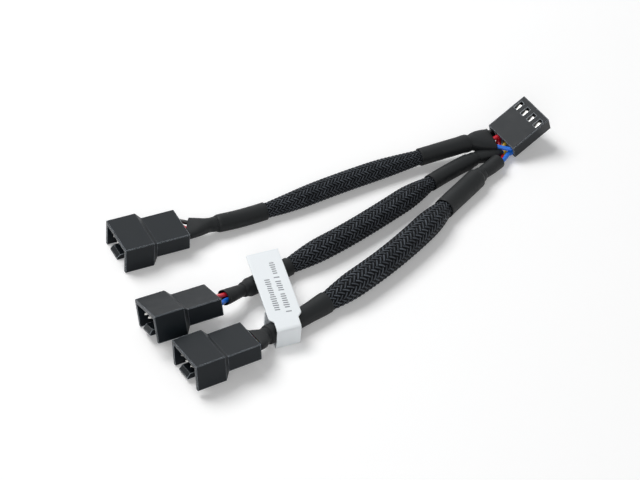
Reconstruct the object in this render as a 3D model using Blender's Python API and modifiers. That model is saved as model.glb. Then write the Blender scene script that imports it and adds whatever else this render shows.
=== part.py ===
"""Three-way splitter lead for four-pin computer fans.

One socket housing feeds three shrouded plug housings through braided branches, with shrink tubes
over the ends of every braid and a folded paper flag on the third branch. Metres, +Z up, +X along
the lead from the plugs to the socket, origin on the table under the middle of the housings.

A housing's own frame has +X from the plugs towards the socket, +Y across its contacts with
contact 1 on the +Y side, and +Z out of its plain top face.
"""

import math

import bmesh
import bpy
from mathutils import Euler, Matrix, Vector

# Contacts and wires
CONTACTS = 4
PITCH = 0.00254
PIN_SIDE = 0.00064
WIRE_DIAMETER = 0.00115
WIRE_SPACING = 0.00122
NEST_GAP = 0.00011

# Plug housing
SHROUD_HEIGHT = 0.0073
SHROUD_LENGTH = 0.0078
SHROUD_WALL = 0.00085
SOCKET_SIDE_PLAY = 0.00052
SOCKET_DEPTH = 0.0065
TAPER_LENGTH = 0.00125
PLUG_BODY_LENGTH = 0.0090
PLUG_BODY_HEIGHT = 0.00455
PLUG_BODY_MARGIN = 0.00037
PIN_HEIGHT = 0.0039
PIN_TIP_INSET = 0.0010
CAVITY_WALL = 0.0006
CAVITY_WEB = 0.0012
TAB_WIDTH = 0.0043
TAB_THICKNESS = 0.0015
TAB_LEAD_IN = 0.0009
TOP_RIB_WIDTH = 0.0009
TOP_RIB_LENGTH = 0.0016
TOP_RIB_DEPTH = 0.0004
TANG_WINDOW_LENGTH = 0.0024
TANG_WINDOW_WIDTH = 0.0012
EDGE_ROUND = 0.00015

# Socket housing
SOCKET_HOUSING_LENGTH = 0.0127
SOCKET_HOUSING_HEIGHT = 0.0048
CONTACT_PARTITION = 0.00064
ENTRY_SIDE = 0.0011
ENTRY_FLARE = 0.0004
FRONT_WALL = 0.0007
WINDOW_LENGTH = 0.0026
WINDOW_WIDTH = 0.0012
WINDOW_SETBACK = 0.0029
GUIDE_RIB_HEIGHT = 0.0008
GUIDE_RIB_WIDTH = 0.0010
GUIDE_RIB_LENGTH = 0.0085

# Crimped contacts
CONTACT_SIDE_PLAY = 0.0002
CONTACT_BOX_LENGTH = 0.0044
CRIMP_LENGTH = 0.0022
CRIMP_PLAY = 0.0004
WIRE_INSERTION = 0.0020

# Sleeves, for branches 1 to 3
BRAID_RADIUS = (0.00277, 0.00315, 0.00354)
BRAID_WALL = 0.0004
BRAID_SWELL_LENGTH = (0.016, 0.012, 0.011)
BRAID_TUCK = 0.0030
SLEEVE_TUBE_WALL = 0.00025
SLEEVE_STEP = 0.0014
PLUG_SLEEVE_RADIUS = (0.00236, 0.0024, 0.0025)
PLUG_SLEEVE_GROWTH = (0.0, 0.0, 0.00033)
GROWTH_LENGTH = 0.007
SOCKET_SLEEVE_RADIUS = (0.00236, 0.00222, 0.00275)
WIRE_TUBE_WALL = 0.0002
PLUG_TUBE_SLACK = (0.0004, 0.0, 0.00039)
SOCKET_TUBE_SLACK = (0.0004, 0.0, 0.0)
PLUG_MOUTH_WIDTH = (0.0065, 0.0037, 0.0074)
PLUG_MOUTH_HEIGHT = 0.0024
PLUG_MOUTH_LEAN = (0.30, 0.0, 0.15)
SOCKET_MOUTH_WIDTH = (0.0064, 0.0044, 0.0035)
SOCKET_MOUTH_HEIGHT = 0.0023
MOUTH_SLACK = 0.00026

# Paper label
PAPER = 0.00025
LABEL_NECK_WIDTH = 0.0064
LABEL_SHOULDER_START = 0.0034
LABEL_SHOULDER_END = 0.0046
FLAG_WIDTH = 0.0086
FLAG_END = 0.0282
FLAG_THICKNESS = 0.00045
WRAP_DEPTH = 0.0081
WRAP_HEIGHT = 0.0058
FOLD_RADIUS = 0.0006
LABEL_CORNER = (-0.0434, -0.0272, 0.00603)
LABEL_YAW = math.radians(-19.0)
LABEL_TILT = math.radians(2.0)
FLAG_YAW = math.radians(62.5)

# Where each housing lies, and its yaw, the rise of its +X end and its roll in degrees
PLUG_PLACES = ((-0.05186, 0.02428, 0.0), (-0.06538, -0.00502, 0.00206), (-0.0674, -0.02133, 0.0008))
PLUG_TURNS = ((-16.8, 0.0, 0.0), (-16.45, 2.5, -19.1), (-13.1, 2.4, -7.3))
SOCKET_PLACE = (0.0572, -0.0053, 0.00082)
SOCKET_TURN = (-7.4, 25.0, 11.4)

# Middle line of each branch between its plug and the socket, chosen by hand
ROUTES = (
    (
        (-0.0329, 0.0181, 0.0038), (-0.0259, 0.0160, 0.0030), (-0.0178, 0.0138, 0.0025),
        (-0.0071, 0.0113, 0.00262), (0.0076, 0.0089, 0.00284), (0.0210, 0.0064, 0.00284),
        (0.0339, 0.0030, 0.0032), (0.0432, -0.0004, 0.0042), (0.0494, -0.0027, 0.0048),
        (0.0530, -0.0044, 0.0050),
    ),
    (
        (-0.0456, -0.0095, 0.0062), (-0.0411, -0.0092, 0.0052), (-0.0349, -0.0085, 0.0037),
        (-0.0286, -0.0080, 0.0029), (-0.0217, -0.0078, 0.00265), (-0.0147, -0.0082, 0.0031),
        (-0.0042, -0.0085, 0.00325), (0.0073, -0.0081, 0.00325), (0.0212, -0.0071, 0.00316),
        (0.0306, -0.0061, 0.0027), (0.0393, -0.0057, 0.00245), (0.0463, -0.0058, 0.0021),
        (0.0507, -0.0063, 0.0017),
    ),
    (
        (-0.0484, -0.0251, 0.0051), (-0.0450, -0.0246, 0.0039), (-0.0416, -0.0244, 0.0033),
        (-0.0368, -0.0244, 0.0032), (-0.0309, -0.0244, 0.0031), (-0.0243, -0.0241, 0.0030),
        (-0.0167, -0.0240, 0.00357), (-0.0045, -0.0228, 0.00366), (0.0062, -0.0210, 0.00366),
        (0.0173, -0.0184, 0.00354), (0.0262, -0.0157, 0.0029), (0.0342, -0.0138, 0.00282),
        (0.0416, -0.0121, 0.00282), (0.0472, -0.0111, 0.0023), (0.0502, -0.0105, 0.0022),
    ),
)

# Distance from each plug's rear face to where its sleeves start and end
STATIONS = (
    {"wire_tube": 0.0021, "sleeve_tube": 0.0094, "braid": 0.0234, "socket_tube": 0.0706,
     "socket_wire_tube": 0.0851, "fan_out": 0.0916},
    {"wire_tube": 0.0026, "sleeve_tube": 0.0093, "braid": 0.0262, "socket_tube": 0.0775,
     "socket_wire_tube": 0.0925, "fan_out": 0.0988},
    {"wire_tube": 0.0012, "sleeve_tube": 0.0055, "braid": 0.0258, "socket_tube": 0.0752,
     "socket_wire_tube": 0.0940, "fan_out": 0.1015},
)
BRANCH_WIRES = (
    {1: "black", 2: "red", 4: "blue"},
    {1: "black", 2: "red", 4: "blue"},
    {1: "black", 2: "red", 3: "yellow", 4: "blue"},
)
# Which layer each branch's wires take in the socket's cavities, bottom 0 to top 2
BRANCH_LAYER = (2, 0, 1)
LAYER_RISE = 0.00127
# Where each branch's middle line meets the socket's rear face: across and up in its frame
LANDINGS = ((0.0010, 0.0040), (-0.0004, 0.0013), (-0.0030, 0.0025))
# Where wires sweep round behind the socket, in its frame
FAN_OUT = (
    {},
    {1: ((-0.0030, 0.0020, 0.0017),),
     2: ((-0.0030, 0.0004, 0.0019),),
     4: ((-0.0030, -0.0030, 0.0020),)},
    {1: ((-0.0042, -0.0026, 0.0048), (-0.0024, 0.0006, 0.0032), (-0.0010, 0.0030, 0.0026)),
     2: ((-0.0037, -0.0039, 0.0050), (-0.0019, -0.0011, 0.0036)),
     3: ((-0.0030, -0.0038, 0.0033),),
     4: ((-0.0032, -0.0052, 0.0039),)},
)

BODY_WIDTH = CONTACTS * PITCH + 2 * PLUG_BODY_MARGIN
SOCKET_HOUSING_WIDTH = CONTACTS * PITCH
SHROUD_INNER_WIDTH = SOCKET_HOUSING_WIDTH + 2 * SOCKET_SIDE_PLAY
SHROUD_WIDTH = SHROUD_INNER_WIDTH + 2 * SHROUD_WALL
PLUG_LENGTH = SHROUD_LENGTH + TAPER_LENGTH + PLUG_BODY_LENGTH
SOCKET_MID_HEIGHT = SOCKET_HOUSING_HEIGHT / 2
CAVITY_WIDTH = PITCH - CONTACT_PARTITION
PLUG_CAVITY_HEIGHT = PLUG_BODY_HEIGHT - 2 * CAVITY_WALL
SOCKET_CAVITY_HEIGHT = SOCKET_HOUSING_HEIGHT - 1.5 * CAVITY_WALL
OVERCUT = 0.001
MERGE = 0.000001

# How finely the round pieces follow their routes
ROUTE_LEAD = 0.003
ROUTE_STEPS = 10
TANGENT_STEP = 0.0004
ROLL_LENGTH = 0.018
EXIT_LENGTH = 0.0002
EXIT_PINCH = 0.91
RISE_LEAD = 1.7
FINE_STEP = 0.0018
COARSE_STEP = 0.0052
SWELL_STEP = 0.0028
FAN_STEPS = 3
SLEEVE_SIDES = 12
FLAT_SQUARENESS = 0.35


def contact_y(number):
    """Where a contact lies across its housing, from the middle line."""
    return ((CONTACTS + 1) / 2 - number) * PITCH


def pose_matrix(place, turn):
    yaw, rise, roll = (math.radians(angle) for angle in turn)
    return Matrix.Translation(place) @ Euler((roll, -rise, yaw), "XYZ").to_matrix().to_4x4()


def clear_scene():
    for item in list(bpy.data.objects):
        bpy.data.objects.remove(item, do_unlink=True)


def new_collection(name):
    collection = bpy.data.collections.new(name)
    bpy.context.scene.collection.children.link(collection)
    return collection


def new_material(name, color, roughness, metallic=0.0):
    material = bpy.data.materials.new(name)
    material.use_nodes = True
    shader = material.node_tree.nodes["Principled BSDF"]
    shader.inputs["Base Color"].default_value = (*color, 1.0)
    shader.inputs["Roughness"].default_value = roughness
    shader.inputs["Metallic"].default_value = metallic
    material.diffuse_color = (*color, 1.0)
    return material


def new_object(name, mesh, collection, material=None):
    item = bpy.data.objects.new(name, mesh)
    collection.objects.link(item)
    if material and not mesh.materials:
        mesh.materials.append(material)
    return item


def stepped_block(name, sections, collection):
    """One solid through rectangles at stations along X: (x, y low, y high, z low, z high)."""
    body = bmesh.new()
    rings = []
    for x, y_low, y_high, z_low, z_high in sections:
        corners = ((y_low, z_low), (y_high, z_low), (y_high, z_high), (y_low, z_high))
        rings.append([body.verts.new((x, y, z)) for y, z in corners])
    for first, second in zip(rings, rings[1:]):
        for side in range(4):
            after = (side + 1) % 4
            body.faces.new((first[side], first[after], second[after], second[side]))
    body.faces.new(rings[0])
    body.faces.new(rings[-1])
    bmesh.ops.recalc_face_normals(body, faces=body.faces)
    mesh = bpy.data.meshes.new(name)
    body.to_mesh(mesh)
    body.free()
    return new_object(name, mesh, collection)


def block(name, low, high, collection):
    """A box between two corners."""
    body = bmesh.new()
    bmesh.ops.create_cube(body, size=1.0)
    size = [b - a for a, b in zip(low, high)]
    middle = [(a + b) / 2 for a, b in zip(low, high)]
    bmesh.ops.scale(body, vec=size, verts=body.verts)
    bmesh.ops.translate(body, vec=middle, verts=body.verts)
    mesh = bpy.data.meshes.new(name)
    body.to_mesh(mesh)
    body.free()
    return new_object(name, mesh, collection)


def round_edges(item, width):
    modifier = item.modifiers.new("edge_round", "BEVEL")
    modifier.width = width
    modifier.segments = 1
    modifier.limit_method = "ANGLE"
    modifier.angle_limit = math.radians(40)


def combine(item, operation, tools):
    for tool in tools:
        modifier = item.modifiers.new(tool.name, "BOOLEAN")
        modifier.operation = operation
        modifier.solver = "EXACT"
        modifier.object = tool


def baked(item, tools):
    """The item's finished mesh. The item and the shapes that cut it or join it are removed."""
    bpy.context.view_layer.update()
    graph = bpy.context.evaluated_depsgraph_get()
    mesh = bpy.data.meshes.new_from_object(item.evaluated_get(graph))
    mesh.name = item.name
    for each in [item, *tools]:
        bpy.data.objects.remove(each, do_unlink=True)
    return mesh


def plug_housing_mesh(workshop):
    """Shroud, taper and narrower rear body in one moulding, open below on both sides of its tab."""
    half = SHROUD_WIDTH / 2
    inner = SHROUD_INNER_WIDTH / 2
    body_half = BODY_WIDTH / 2
    body_low = PIN_HEIGHT - PLUG_BODY_HEIGHT / 2
    body_high = PIN_HEIGHT + PLUG_BODY_HEIGHT / 2
    taper_end = SHROUD_LENGTH + TAPER_LENGTH
    ceiling = SHROUD_HEIGHT - SHROUD_WALL
    shell = stepped_block("plug_shell", (
        (0.0, -half, half, 0.0, SHROUD_HEIGHT),
        (SHROUD_LENGTH, -half, half, 0.0, SHROUD_HEIGHT),
        (taper_end, -body_half, body_half, body_low, body_high),
        (PLUG_LENGTH, -body_half, body_half, body_low, body_high),
    ), workshop)
    round_edges(shell, EDGE_ROUND)
    tab_middle = contact_y(2)
    tab_low = tab_middle - TAB_WIDTH / 2
    tab_high = tab_middle + TAB_WIDTH / 2
    cutters = [
        block("mouth", (-OVERCUT, -inner, TAB_THICKNESS), (SOCKET_DEPTH, inner, ceiling), workshop),
        block("near_slot", (-OVERCUT, -inner, -OVERCUT),
              (SOCKET_DEPTH, tab_low, TAB_THICKNESS + OVERCUT), workshop),
        block("far_slot", (-OVERCUT, tab_high, -OVERCUT),
              (SOCKET_DEPTH, inner, TAB_THICKNESS + OVERCUT), workshop),
        stepped_block("lead_in", (
            (-OVERCUT, -inner, inner, TAB_THICKNESS - TAB_LEAD_IN - OVERCUT, TAB_THICKNESS + OVERCUT),
            (TAB_LEAD_IN, -inner, inner, TAB_THICKNESS, TAB_THICKNESS + OVERCUT),
        ), workshop),
    ]
    cavity_start = SOCKET_DEPTH + CAVITY_WEB
    cavity_low = PIN_HEIGHT - PLUG_CAVITY_HEIGHT / 2
    cavity_high = PIN_HEIGHT + PLUG_CAVITY_HEIGHT / 2
    hole = PIN_SIDE / 2 + NEST_GAP
    window_end = cavity_start + CONTACT_BOX_LENGTH + TAPER_LENGTH
    for number in range(1, CONTACTS + 1):
        y = contact_y(number)
        cutters += [
            block(f"cavity_{number}", (cavity_start, y - CAVITY_WIDTH / 2, cavity_low),
                  (PLUG_LENGTH + OVERCUT, y + CAVITY_WIDTH / 2, cavity_high), workshop),
            block(f"pin_hole_{number}", (SOCKET_DEPTH - OVERCUT, y - hole, PIN_HEIGHT - hole),
                  (cavity_start + OVERCUT, y + hole, PIN_HEIGHT + hole), workshop),
            block(f"tang_window_{number}",
                  (window_end - TANG_WINDOW_LENGTH, y - TANG_WINDOW_WIDTH / 2, -OVERCUT),
                  (window_end, y + TANG_WINDOW_WIDTH / 2, PIN_HEIGHT), workshop),
        ]
    rib = block("top_rib", (TOP_RIB_DEPTH, -TOP_RIB_WIDTH / 2, ceiling - TOP_RIB_DEPTH),
                (TOP_RIB_DEPTH + TOP_RIB_LENGTH, TOP_RIB_WIDTH / 2, ceiling + SHROUD_WALL / 2), workshop)
    combine(shell, "DIFFERENCE", cutters)
    combine(shell, "UNION", [rib])
    return baked(shell, [*cutters, rib])


def socket_housing_mesh(workshop):
    """Four through cavities, a small flared entry to each, windows on top and two guide ribs below."""
    half = SOCKET_HOUSING_WIDTH / 2
    shell = block("socket_shell", (0.0, -half, 0.0),
                  (SOCKET_HOUSING_LENGTH, half, SOCKET_HOUSING_HEIGHT), workshop)
    round_edges(shell, EDGE_ROUND)
    rib_offset = TAB_WIDTH / 2 + 2 * NEST_GAP + GUIDE_RIB_WIDTH / 2
    ribs = []
    for name, side in (("near_rib", -1), ("far_rib", 1)):
        y = contact_y(2) + side * rib_offset
        ribs.append(block(
            name,
            (SOCKET_HOUSING_LENGTH - GUIDE_RIB_LENGTH, y - GUIDE_RIB_WIDTH / 2, -GUIDE_RIB_HEIGHT),
            (SOCKET_HOUSING_LENGTH - EDGE_ROUND, y + GUIDE_RIB_WIDTH / 2, CAVITY_WALL / 2),
            workshop))
    low = SOCKET_MID_HEIGHT - SOCKET_CAVITY_HEIGHT / 2
    high = SOCKET_MID_HEIGHT + SOCKET_CAVITY_HEIGHT / 2
    cavity_end = SOCKET_HOUSING_LENGTH - FRONT_WALL
    window_middle = SOCKET_HOUSING_LENGTH - WINDOW_SETBACK
    entry = ENTRY_SIDE / 2
    flared = entry + ENTRY_FLARE
    cutters = []
    for number in range(1, CONTACTS + 1):
        y = contact_y(number)
        cutters += [
            block(f"cavity_{number}", (-OVERCUT, y - CAVITY_WIDTH / 2, low),
                  (cavity_end, y + CAVITY_WIDTH / 2, high), workshop),
            stepped_block(f"entry_{number}", (
                (cavity_end - OVERCUT, y - entry, y + entry,
                 SOCKET_MID_HEIGHT - entry, SOCKET_MID_HEIGHT + entry),
                (SOCKET_HOUSING_LENGTH - ENTRY_FLARE, y - entry, y + entry,
                 SOCKET_MID_HEIGHT - entry, SOCKET_MID_HEIGHT + entry),
                (SOCKET_HOUSING_LENGTH + ENTRY_FLARE, y - flared - ENTRY_FLARE, y + flared + ENTRY_FLARE,
                 SOCKET_MID_HEIGHT - flared - ENTRY_FLARE, SOCKET_MID_HEIGHT + flared + ENTRY_FLARE),
            ), workshop),
            block(f"window_{number}",
                  (window_middle - WINDOW_LENGTH / 2, y - WINDOW_WIDTH / 2, SOCKET_MID_HEIGHT),
                  (window_middle + WINDOW_LENGTH / 2, y + WINDOW_WIDTH / 2,
                   SOCKET_HOUSING_HEIGHT + OVERCUT), workshop),
        ]
    combine(shell, "UNION", ribs)
    combine(shell, "DIFFERENCE", cutters)
    return baked(shell, [*ribs, *cutters])


def plug_pin_mesh(workshop):
    """Square pin with a pointed tip, latched box and open crimp, along X through its contact."""
    pin = PIN_SIDE / 2
    tip = pin / 2
    box_start = SOCKET_DEPTH + CAVITY_WEB + NEST_GAP
    box_end = box_start + CONTACT_BOX_LENGTH
    box_half = CAVITY_WIDTH / 2 - CONTACT_SIDE_PLAY
    box_low = PIN_HEIGHT - PLUG_CAVITY_HEIGHT / 2 + CONTACT_SIDE_PLAY
    box_high = PIN_HEIGHT + PLUG_CAVITY_HEIGHT / 2 - CRIMP_PLAY
    crimp_half = box_half - CONTACT_SIDE_PLAY / 2
    crimp_end = PLUG_LENGTH - WIRE_INSERTION - CONTACT_SIDE_PLAY
    crimp_low = PIN_HEIGHT - WIRE_DIAMETER / 2
    crimp_high = PIN_HEIGHT + WIRE_DIAMETER / 2
    item = stepped_block("pin", (
        (PIN_TIP_INSET, -tip, tip, PIN_HEIGHT - tip, PIN_HEIGHT + tip),
        (PIN_TIP_INSET + PIN_SIDE, -pin, pin, PIN_HEIGHT - pin, PIN_HEIGHT + pin),
        (box_start, -pin, pin, PIN_HEIGHT - pin, PIN_HEIGHT + pin),
        (box_start, -box_half, box_half, box_low, box_high),
        (box_end, -box_half, box_half, box_low, box_high),
        (box_end, -crimp_half, crimp_half, crimp_low, crimp_high),
        (crimp_end, -crimp_half, crimp_half, crimp_low, crimp_high),
    ), workshop)
    return baked(item, [])


def socket_terminal_mesh(workshop):
    """Box contact with its pin entry, a raised lance under the window, and a tall three-wire crimp."""
    half = CAVITY_WIDTH / 2 - CONTACT_SIDE_PLAY
    low = SOCKET_MID_HEIGHT - SOCKET_CAVITY_HEIGHT / 2 + CONTACT_SIDE_PLAY
    high = SOCKET_MID_HEIGHT + SOCKET_CAVITY_HEIGHT / 2 - CONTACT_SIDE_PLAY
    front = SOCKET_HOUSING_LENGTH - FRONT_WALL - NEST_GAP
    window_middle = SOCKET_HOUSING_LENGTH - WINDOW_SETBACK
    lance_start = window_middle - WINDOW_LENGTH
    lance_end = window_middle + WINDOW_LENGTH / 4
    contact_start = front - CONTACT_BOX_LENGTH - CRIMP_LENGTH
    crimp_start = WIRE_INSERTION + CONTACT_SIDE_PLAY
    box_high = SOCKET_MID_HEIGHT + ENTRY_SIDE
    crimp_half = half - CONTACT_SIDE_PLAY / 2
    item = stepped_block("terminal", (
        (crimp_start, -crimp_half, crimp_half, low, high),
        (contact_start, -crimp_half, crimp_half, low, high),
        (contact_start + CONTACT_SIDE_PLAY, -half, half, low, box_high),
        (lance_start, -half, half, low, box_high),
        (lance_end, -half, half, low, high),
        (lance_end + CONTACT_SIDE_PLAY, -half, half, low, box_high),
        (front, -half, half, low, box_high),
    ), workshop)
    bore = PIN_SIDE / 2 + NEST_GAP
    entry = block("pin_entry", (contact_start + CRIMP_PLAY, -bore, SOCKET_MID_HEIGHT - bore),
                  (front + OVERCUT, bore, SOCKET_MID_HEIGHT + bore), workshop)
    combine(item, "DIFFERENCE", [entry])
    return baked(item, [entry])


class Route:
    """A branch's middle line, from its plug's rear face to the socket's rear face."""

    def __init__(self, branch, plug, socket):
        start = plug @ Vector((PLUG_LENGTH, 0.0, PIN_HEIGHT))
        landing = LANDINGS[branch]
        end = socket @ Vector((0.0, *landing))
        before = plug @ Vector((PLUG_LENGTH - ROUTE_LEAD, 0.0, PIN_HEIGHT))
        after = socket @ Vector((ROUTE_LEAD, *landing))
        points = [before, start, *(Vector(point) for point in ROUTES[branch]), end, after]
        self.points = []
        for first, second, third, fourth in zip(points, points[1:], points[2:], points[3:]):
            self.points += smooth_span(first, second, third, fourth, ROUTE_STEPS)
        self.points.append(end)
        self.distances = [0.0]
        for first, second in zip(self.points, self.points[1:]):
            self.distances.append(self.distances[-1] + (second - first).length)
        self.start_roll = math.radians(PLUG_TURNS[branch][-1])
        self.end_roll = math.radians(SOCKET_TURN[-1])

    def place(self, distance):
        """The point at a distance along the route."""
        last = len(self.points) - 2
        index = 0
        while index < last and self.distances[index + 1] < distance:
            index += 1
        span = self.distances[index + 1] - self.distances[index]
        share = (distance - self.distances[index]) / span
        return self.points[index].lerp(self.points[index + 1], share)

    def frame(self, distance):
        """The point there, with the directions along, across to +Y and up, rolled as the housings are."""
        here = self.place(distance)
        along = (self.place(distance + TANGENT_STEP) - self.place(distance - TANGENT_STEP)).normalized()
        across = Vector((0.0, 0.0, 1.0)).cross(along).normalized()
        up = along.cross(across)
        near_start = max(0.0, 1.0 - distance / ROLL_LENGTH)
        near_end = max(0.0, 1.0 - (self.distances[-1] - distance) / ROLL_LENGTH)
        roll = self.start_roll * eased(near_start) + self.end_roll * eased(near_end)
        turn = Matrix.Rotation(roll, 3, along)
        return here, along, turn @ across, turn @ up


def eased(share):
    share = min(1.0, max(0.0, share))
    return share * share * (3.0 - 2.0 * share)


def smooth_span(before, start, end, after, steps):
    """Points from start up to, but not at, end, on the smooth curve through four points."""
    length = (end - start).length
    leave = (end - before).normalized() * length
    arrive = (after - start).normalized() * length
    found = []
    for step in range(steps):
        t = step / steps
        found.append(
            start * (2 * t**3 - 3 * t**2 + 1) + leave * (t**3 - 2 * t**2 + t)
            + end * (3 * t**2 - 2 * t**3) + arrive * (t**3 - t**2))
    return found


def spaced(start, end, step):
    """Evenly spaced distances from start to end, either way round, both included."""
    count = max(1, round(abs(end - start) / step))
    return [start + (end - start) * index / count for index in range(count + 1)]


def bundle_radius(count):
    """Distance of each wire's middle from the bundle's middle, when they lie in a ring."""
    return WIRE_SPACING / (2 * math.sin(math.pi / count))


def bundle_core(count):
    return bundle_radius(count) + WIRE_DIAMETER / 2


def bundle_places(contacts):
    """Where each contact's wire lies in the round bundle, as (across, up)."""
    angles = {3: (-30, 90, 210), 4: (0, 90, -90, 180)}[len(contacts)]
    radius = bundle_radius(len(contacts))
    return {
        number: (radius * math.cos(math.radians(angle)), radius * math.sin(math.radians(angle)))
        for number, angle in zip(contacts, angles)
    }


def row_places(contacts, width):
    """Where each contact's wire lies when they are side by side in a flat sleeve."""
    reach = width / 2 - WIRE_TUBE_WALL - NEST_GAP - WIRE_DIAMETER / 2
    last = len(contacts) - 1
    return {number: (reach - 2 * reach * rank / last, 0.0) for rank, number in enumerate(contacts)}


def mouth_places(contacts, width):
    """Places in a sleeve's mouth: a row if it is wide enough, or else the bundle drawn out to fill it."""
    row = row_places(contacts, width)
    reach = row[contacts[0]][0]
    if 2 * reach >= WIRE_SPACING * (len(contacts) - 1):
        return row
    bundle = bundle_places(contacts)
    stretch = max(1.0, reach / max(side for side, _ in bundle.values()))
    return {number: (side * stretch, rise) for number, (side, rise) in bundle.items()}


def blend_places(first, second, share):
    """Places part way from one layout to another. Wires change height before they cross."""
    flat = eased(share)
    if second_is_taller(first, second):
        tall = eased(share * RISE_LEAD)
    else:
        tall = eased(share * RISE_LEAD - RISE_LEAD + 1)
    return {
        number: (first[number][0] + (second[number][0] - first[number][0]) * flat,
                 first[number][1] + (second[number][1] - first[number][1]) * tall)
        for number in first
    }


def second_is_taller(first, second):
    return max(rise for _, rise in second.values()) > max(rise for _, rise in first.values())


def wire_places(branch, distance):
    """Where each wire of a branch lies across the route at a distance along it."""
    contacts = tuple(BRANCH_WIRES[branch])
    stations = STATIONS[branch]
    bundle = bundle_places(contacts)
    if distance < stations["socket_wire_tube"]:
        mouth = mouth_places(contacts, PLUG_MOUTH_WIDTH[branch])
        return blend_places(mouth, bundle, plug_mouth_share(branch, distance))
    mouth = mouth_places(contacts, SOCKET_MOUTH_WIDTH[branch])
    run = stations["fan_out"] - stations["socket_wire_tube"]
    return blend_places(bundle, mouth, (distance - stations["socket_wire_tube"]) / run)


def plug_mouth_share(branch, distance):
    """0 at the mouth of a plug's thin tube, 1 where the thick tube's lip covers it."""
    stations = STATIONS[branch]
    return (distance - stations["wire_tube"]) / (stations["sleeve_tube"] - stations["wire_tube"])


def mouth_lean(branch, distance):
    """How far the section leans along the route for each metre across it, from the slanted mouth on."""
    return PLUG_MOUTH_LEAN[branch] * (1.0 - eased(plug_mouth_share(branch, distance)))


def wire_points(branch, number, route, plug, socket):
    """A wire's middle line, from its crimp in the plug to its crimp in the socket."""
    stations = STATIONS[branch]
    y = contact_y(number)
    points = [
        plug @ Vector((PLUG_LENGTH - WIRE_INSERTION, y, PIN_HEIGHT)),
        plug @ Vector((PLUG_LENGTH - WIRE_INSERTION / 2, y, PIN_HEIGHT)),
        plug @ Vector((PLUG_LENGTH + EXIT_LENGTH, y * EXIT_PINCH, PIN_HEIGHT)),
    ]
    distances = [
        *spaced(stations["wire_tube"], stations["sleeve_tube"], FINE_STEP),
        *spaced(stations["sleeve_tube"], stations["braid"], COARSE_STEP)[1:],
        *spaced(stations["braid"], stations["socket_tube"], COARSE_STEP)[1:],
        *spaced(stations["socket_tube"], stations["socket_wire_tube"], COARSE_STEP)[1:],
        *spaced(stations["socket_wire_tube"], stations["fan_out"], FINE_STEP)[1:],
    ]
    for distance in distances:
        here, along, across, up = route.frame(distance)
        side, rise = wire_places(branch, distance)[number]
        points.append(here + across * side + up * rise + along * (side * mouth_lean(branch, distance)))
    height = SOCKET_MID_HEIGHT + (BRANCH_LAYER[branch] - 1) * LAYER_RISE
    mouth = [
        socket @ Vector((-EXIT_LENGTH, y, height)),
        socket @ Vector((WIRE_INSERTION / 2, y, height)),
        socket @ Vector((WIRE_INSERTION, y, height)),
    ]
    swept = [
        socket @ Vector(place) for place in FAN_OUT[branch].get(number, ())
    ]
    run_up = [points[-2], points[-1], *swept, *mouth]
    for first, second, third, fourth in zip(run_up, run_up[1:], run_up[2:], run_up[3:]):
        points += smooth_span(first, second, third, fourth, FAN_STEPS)[1:]
        points.append(third)
    points.append(mouth[-1])
    return points


def tube_curve(name, points, radius, collection, material):
    """A round wire: a poly spline with a bevel depth and filled caps."""
    curve = bpy.data.curves.new(name, "CURVE")
    curve.dimensions = "3D"
    curve.bevel_depth = radius
    curve.bevel_resolution = 2
    curve.use_fill_caps = True
    spline = curve.splines.new("POLY")
    spline.points.add(len(points) - 1)
    for target, point in zip(spline.points, points):
        target.co = (*point, 1.0)
    curve.materials.append(material)
    item = bpy.data.objects.new(name, curve)
    collection.objects.link(item)
    return item


def squareness(half_width, half_height):
    """1 gives an ellipse, and more a flatter oval."""
    return 1.0 + FLAT_SQUARENESS * (half_width / half_height - 1.0)


def oval_around(places, half_width, half_height, reach):
    """A flat oval's half sizes, grown in proportion until it clears every wire."""
    power = 2 * squareness(half_width, half_height)
    growth = 1.0
    for side, rise in places.values():
        for step in range(SLEEVE_SIDES):
            angle = 2 * math.pi * step / SLEEVE_SIDES
            x = abs(side + reach * math.cos(angle)) / half_width
            y = abs(rise + reach * math.sin(angle)) / half_height
            growth = max(growth, (x**power + y**power) ** (1 / power))
    return half_width * growth, half_height * growth


def sleeve(name, route, sections, wall, collection, material):
    """A hollow sleeve lofted through rounded sections (distance, half width, half height, lean)."""
    body = bmesh.new()
    rings = []
    for distance, half_width, half_height, lean in sections:
        here, along, across, up = route.frame(distance)
        power = 1 / squareness(half_width, half_height)
        ring = []
        for side in range(SLEEVE_SIDES):
            angle = 2 * math.pi * side / SLEEVE_SIDES
            flat = abs(math.cos(angle)) ** power * math.copysign(half_width, math.cos(angle))
            tall = abs(math.sin(angle)) ** power * math.copysign(half_height, math.sin(angle))
            ring.append(body.verts.new(here + across * flat + up * tall + along * (flat * lean)))
        rings.append(ring)
    for first, second in zip(rings, rings[1:]):
        for side in range(SLEEVE_SIDES):
            after = (side + 1) % SLEEVE_SIDES
            body.faces.new((first[side], first[after], second[after], second[side]))
    mesh = bpy.data.meshes.new(name)
    body.to_mesh(mesh)
    body.free()
    mesh.shade_smooth()
    item = new_object(name, mesh, collection, material)
    modifier = item.modifiers.new("wall", "SOLIDIFY")
    modifier.thickness = wall
    modifier.offset = -1.0
    return item


def round_section(distance, radius):
    return distance, radius, radius, 0.0


def round_run(start, end, first, last, step):
    """Round sections from one radius to another."""
    return [
        round_section(distance, first + (last - first) * eased((distance - start) / (end - start)))
        for distance in spaced(start, end, step)
    ]


def swell_run(edge, full_at, neck, full):
    """Round sections of a braid that swells from a tube's edge along a quarter of a sine."""
    found = []
    for distance in spaced(edge, full_at, SWELL_STEP):
        angle = math.pi / 2 * (distance - edge) / (full_at - edge)
        found.append(round_section(distance, neck + (full - neck) * math.sin(angle)))
    return found


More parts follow.
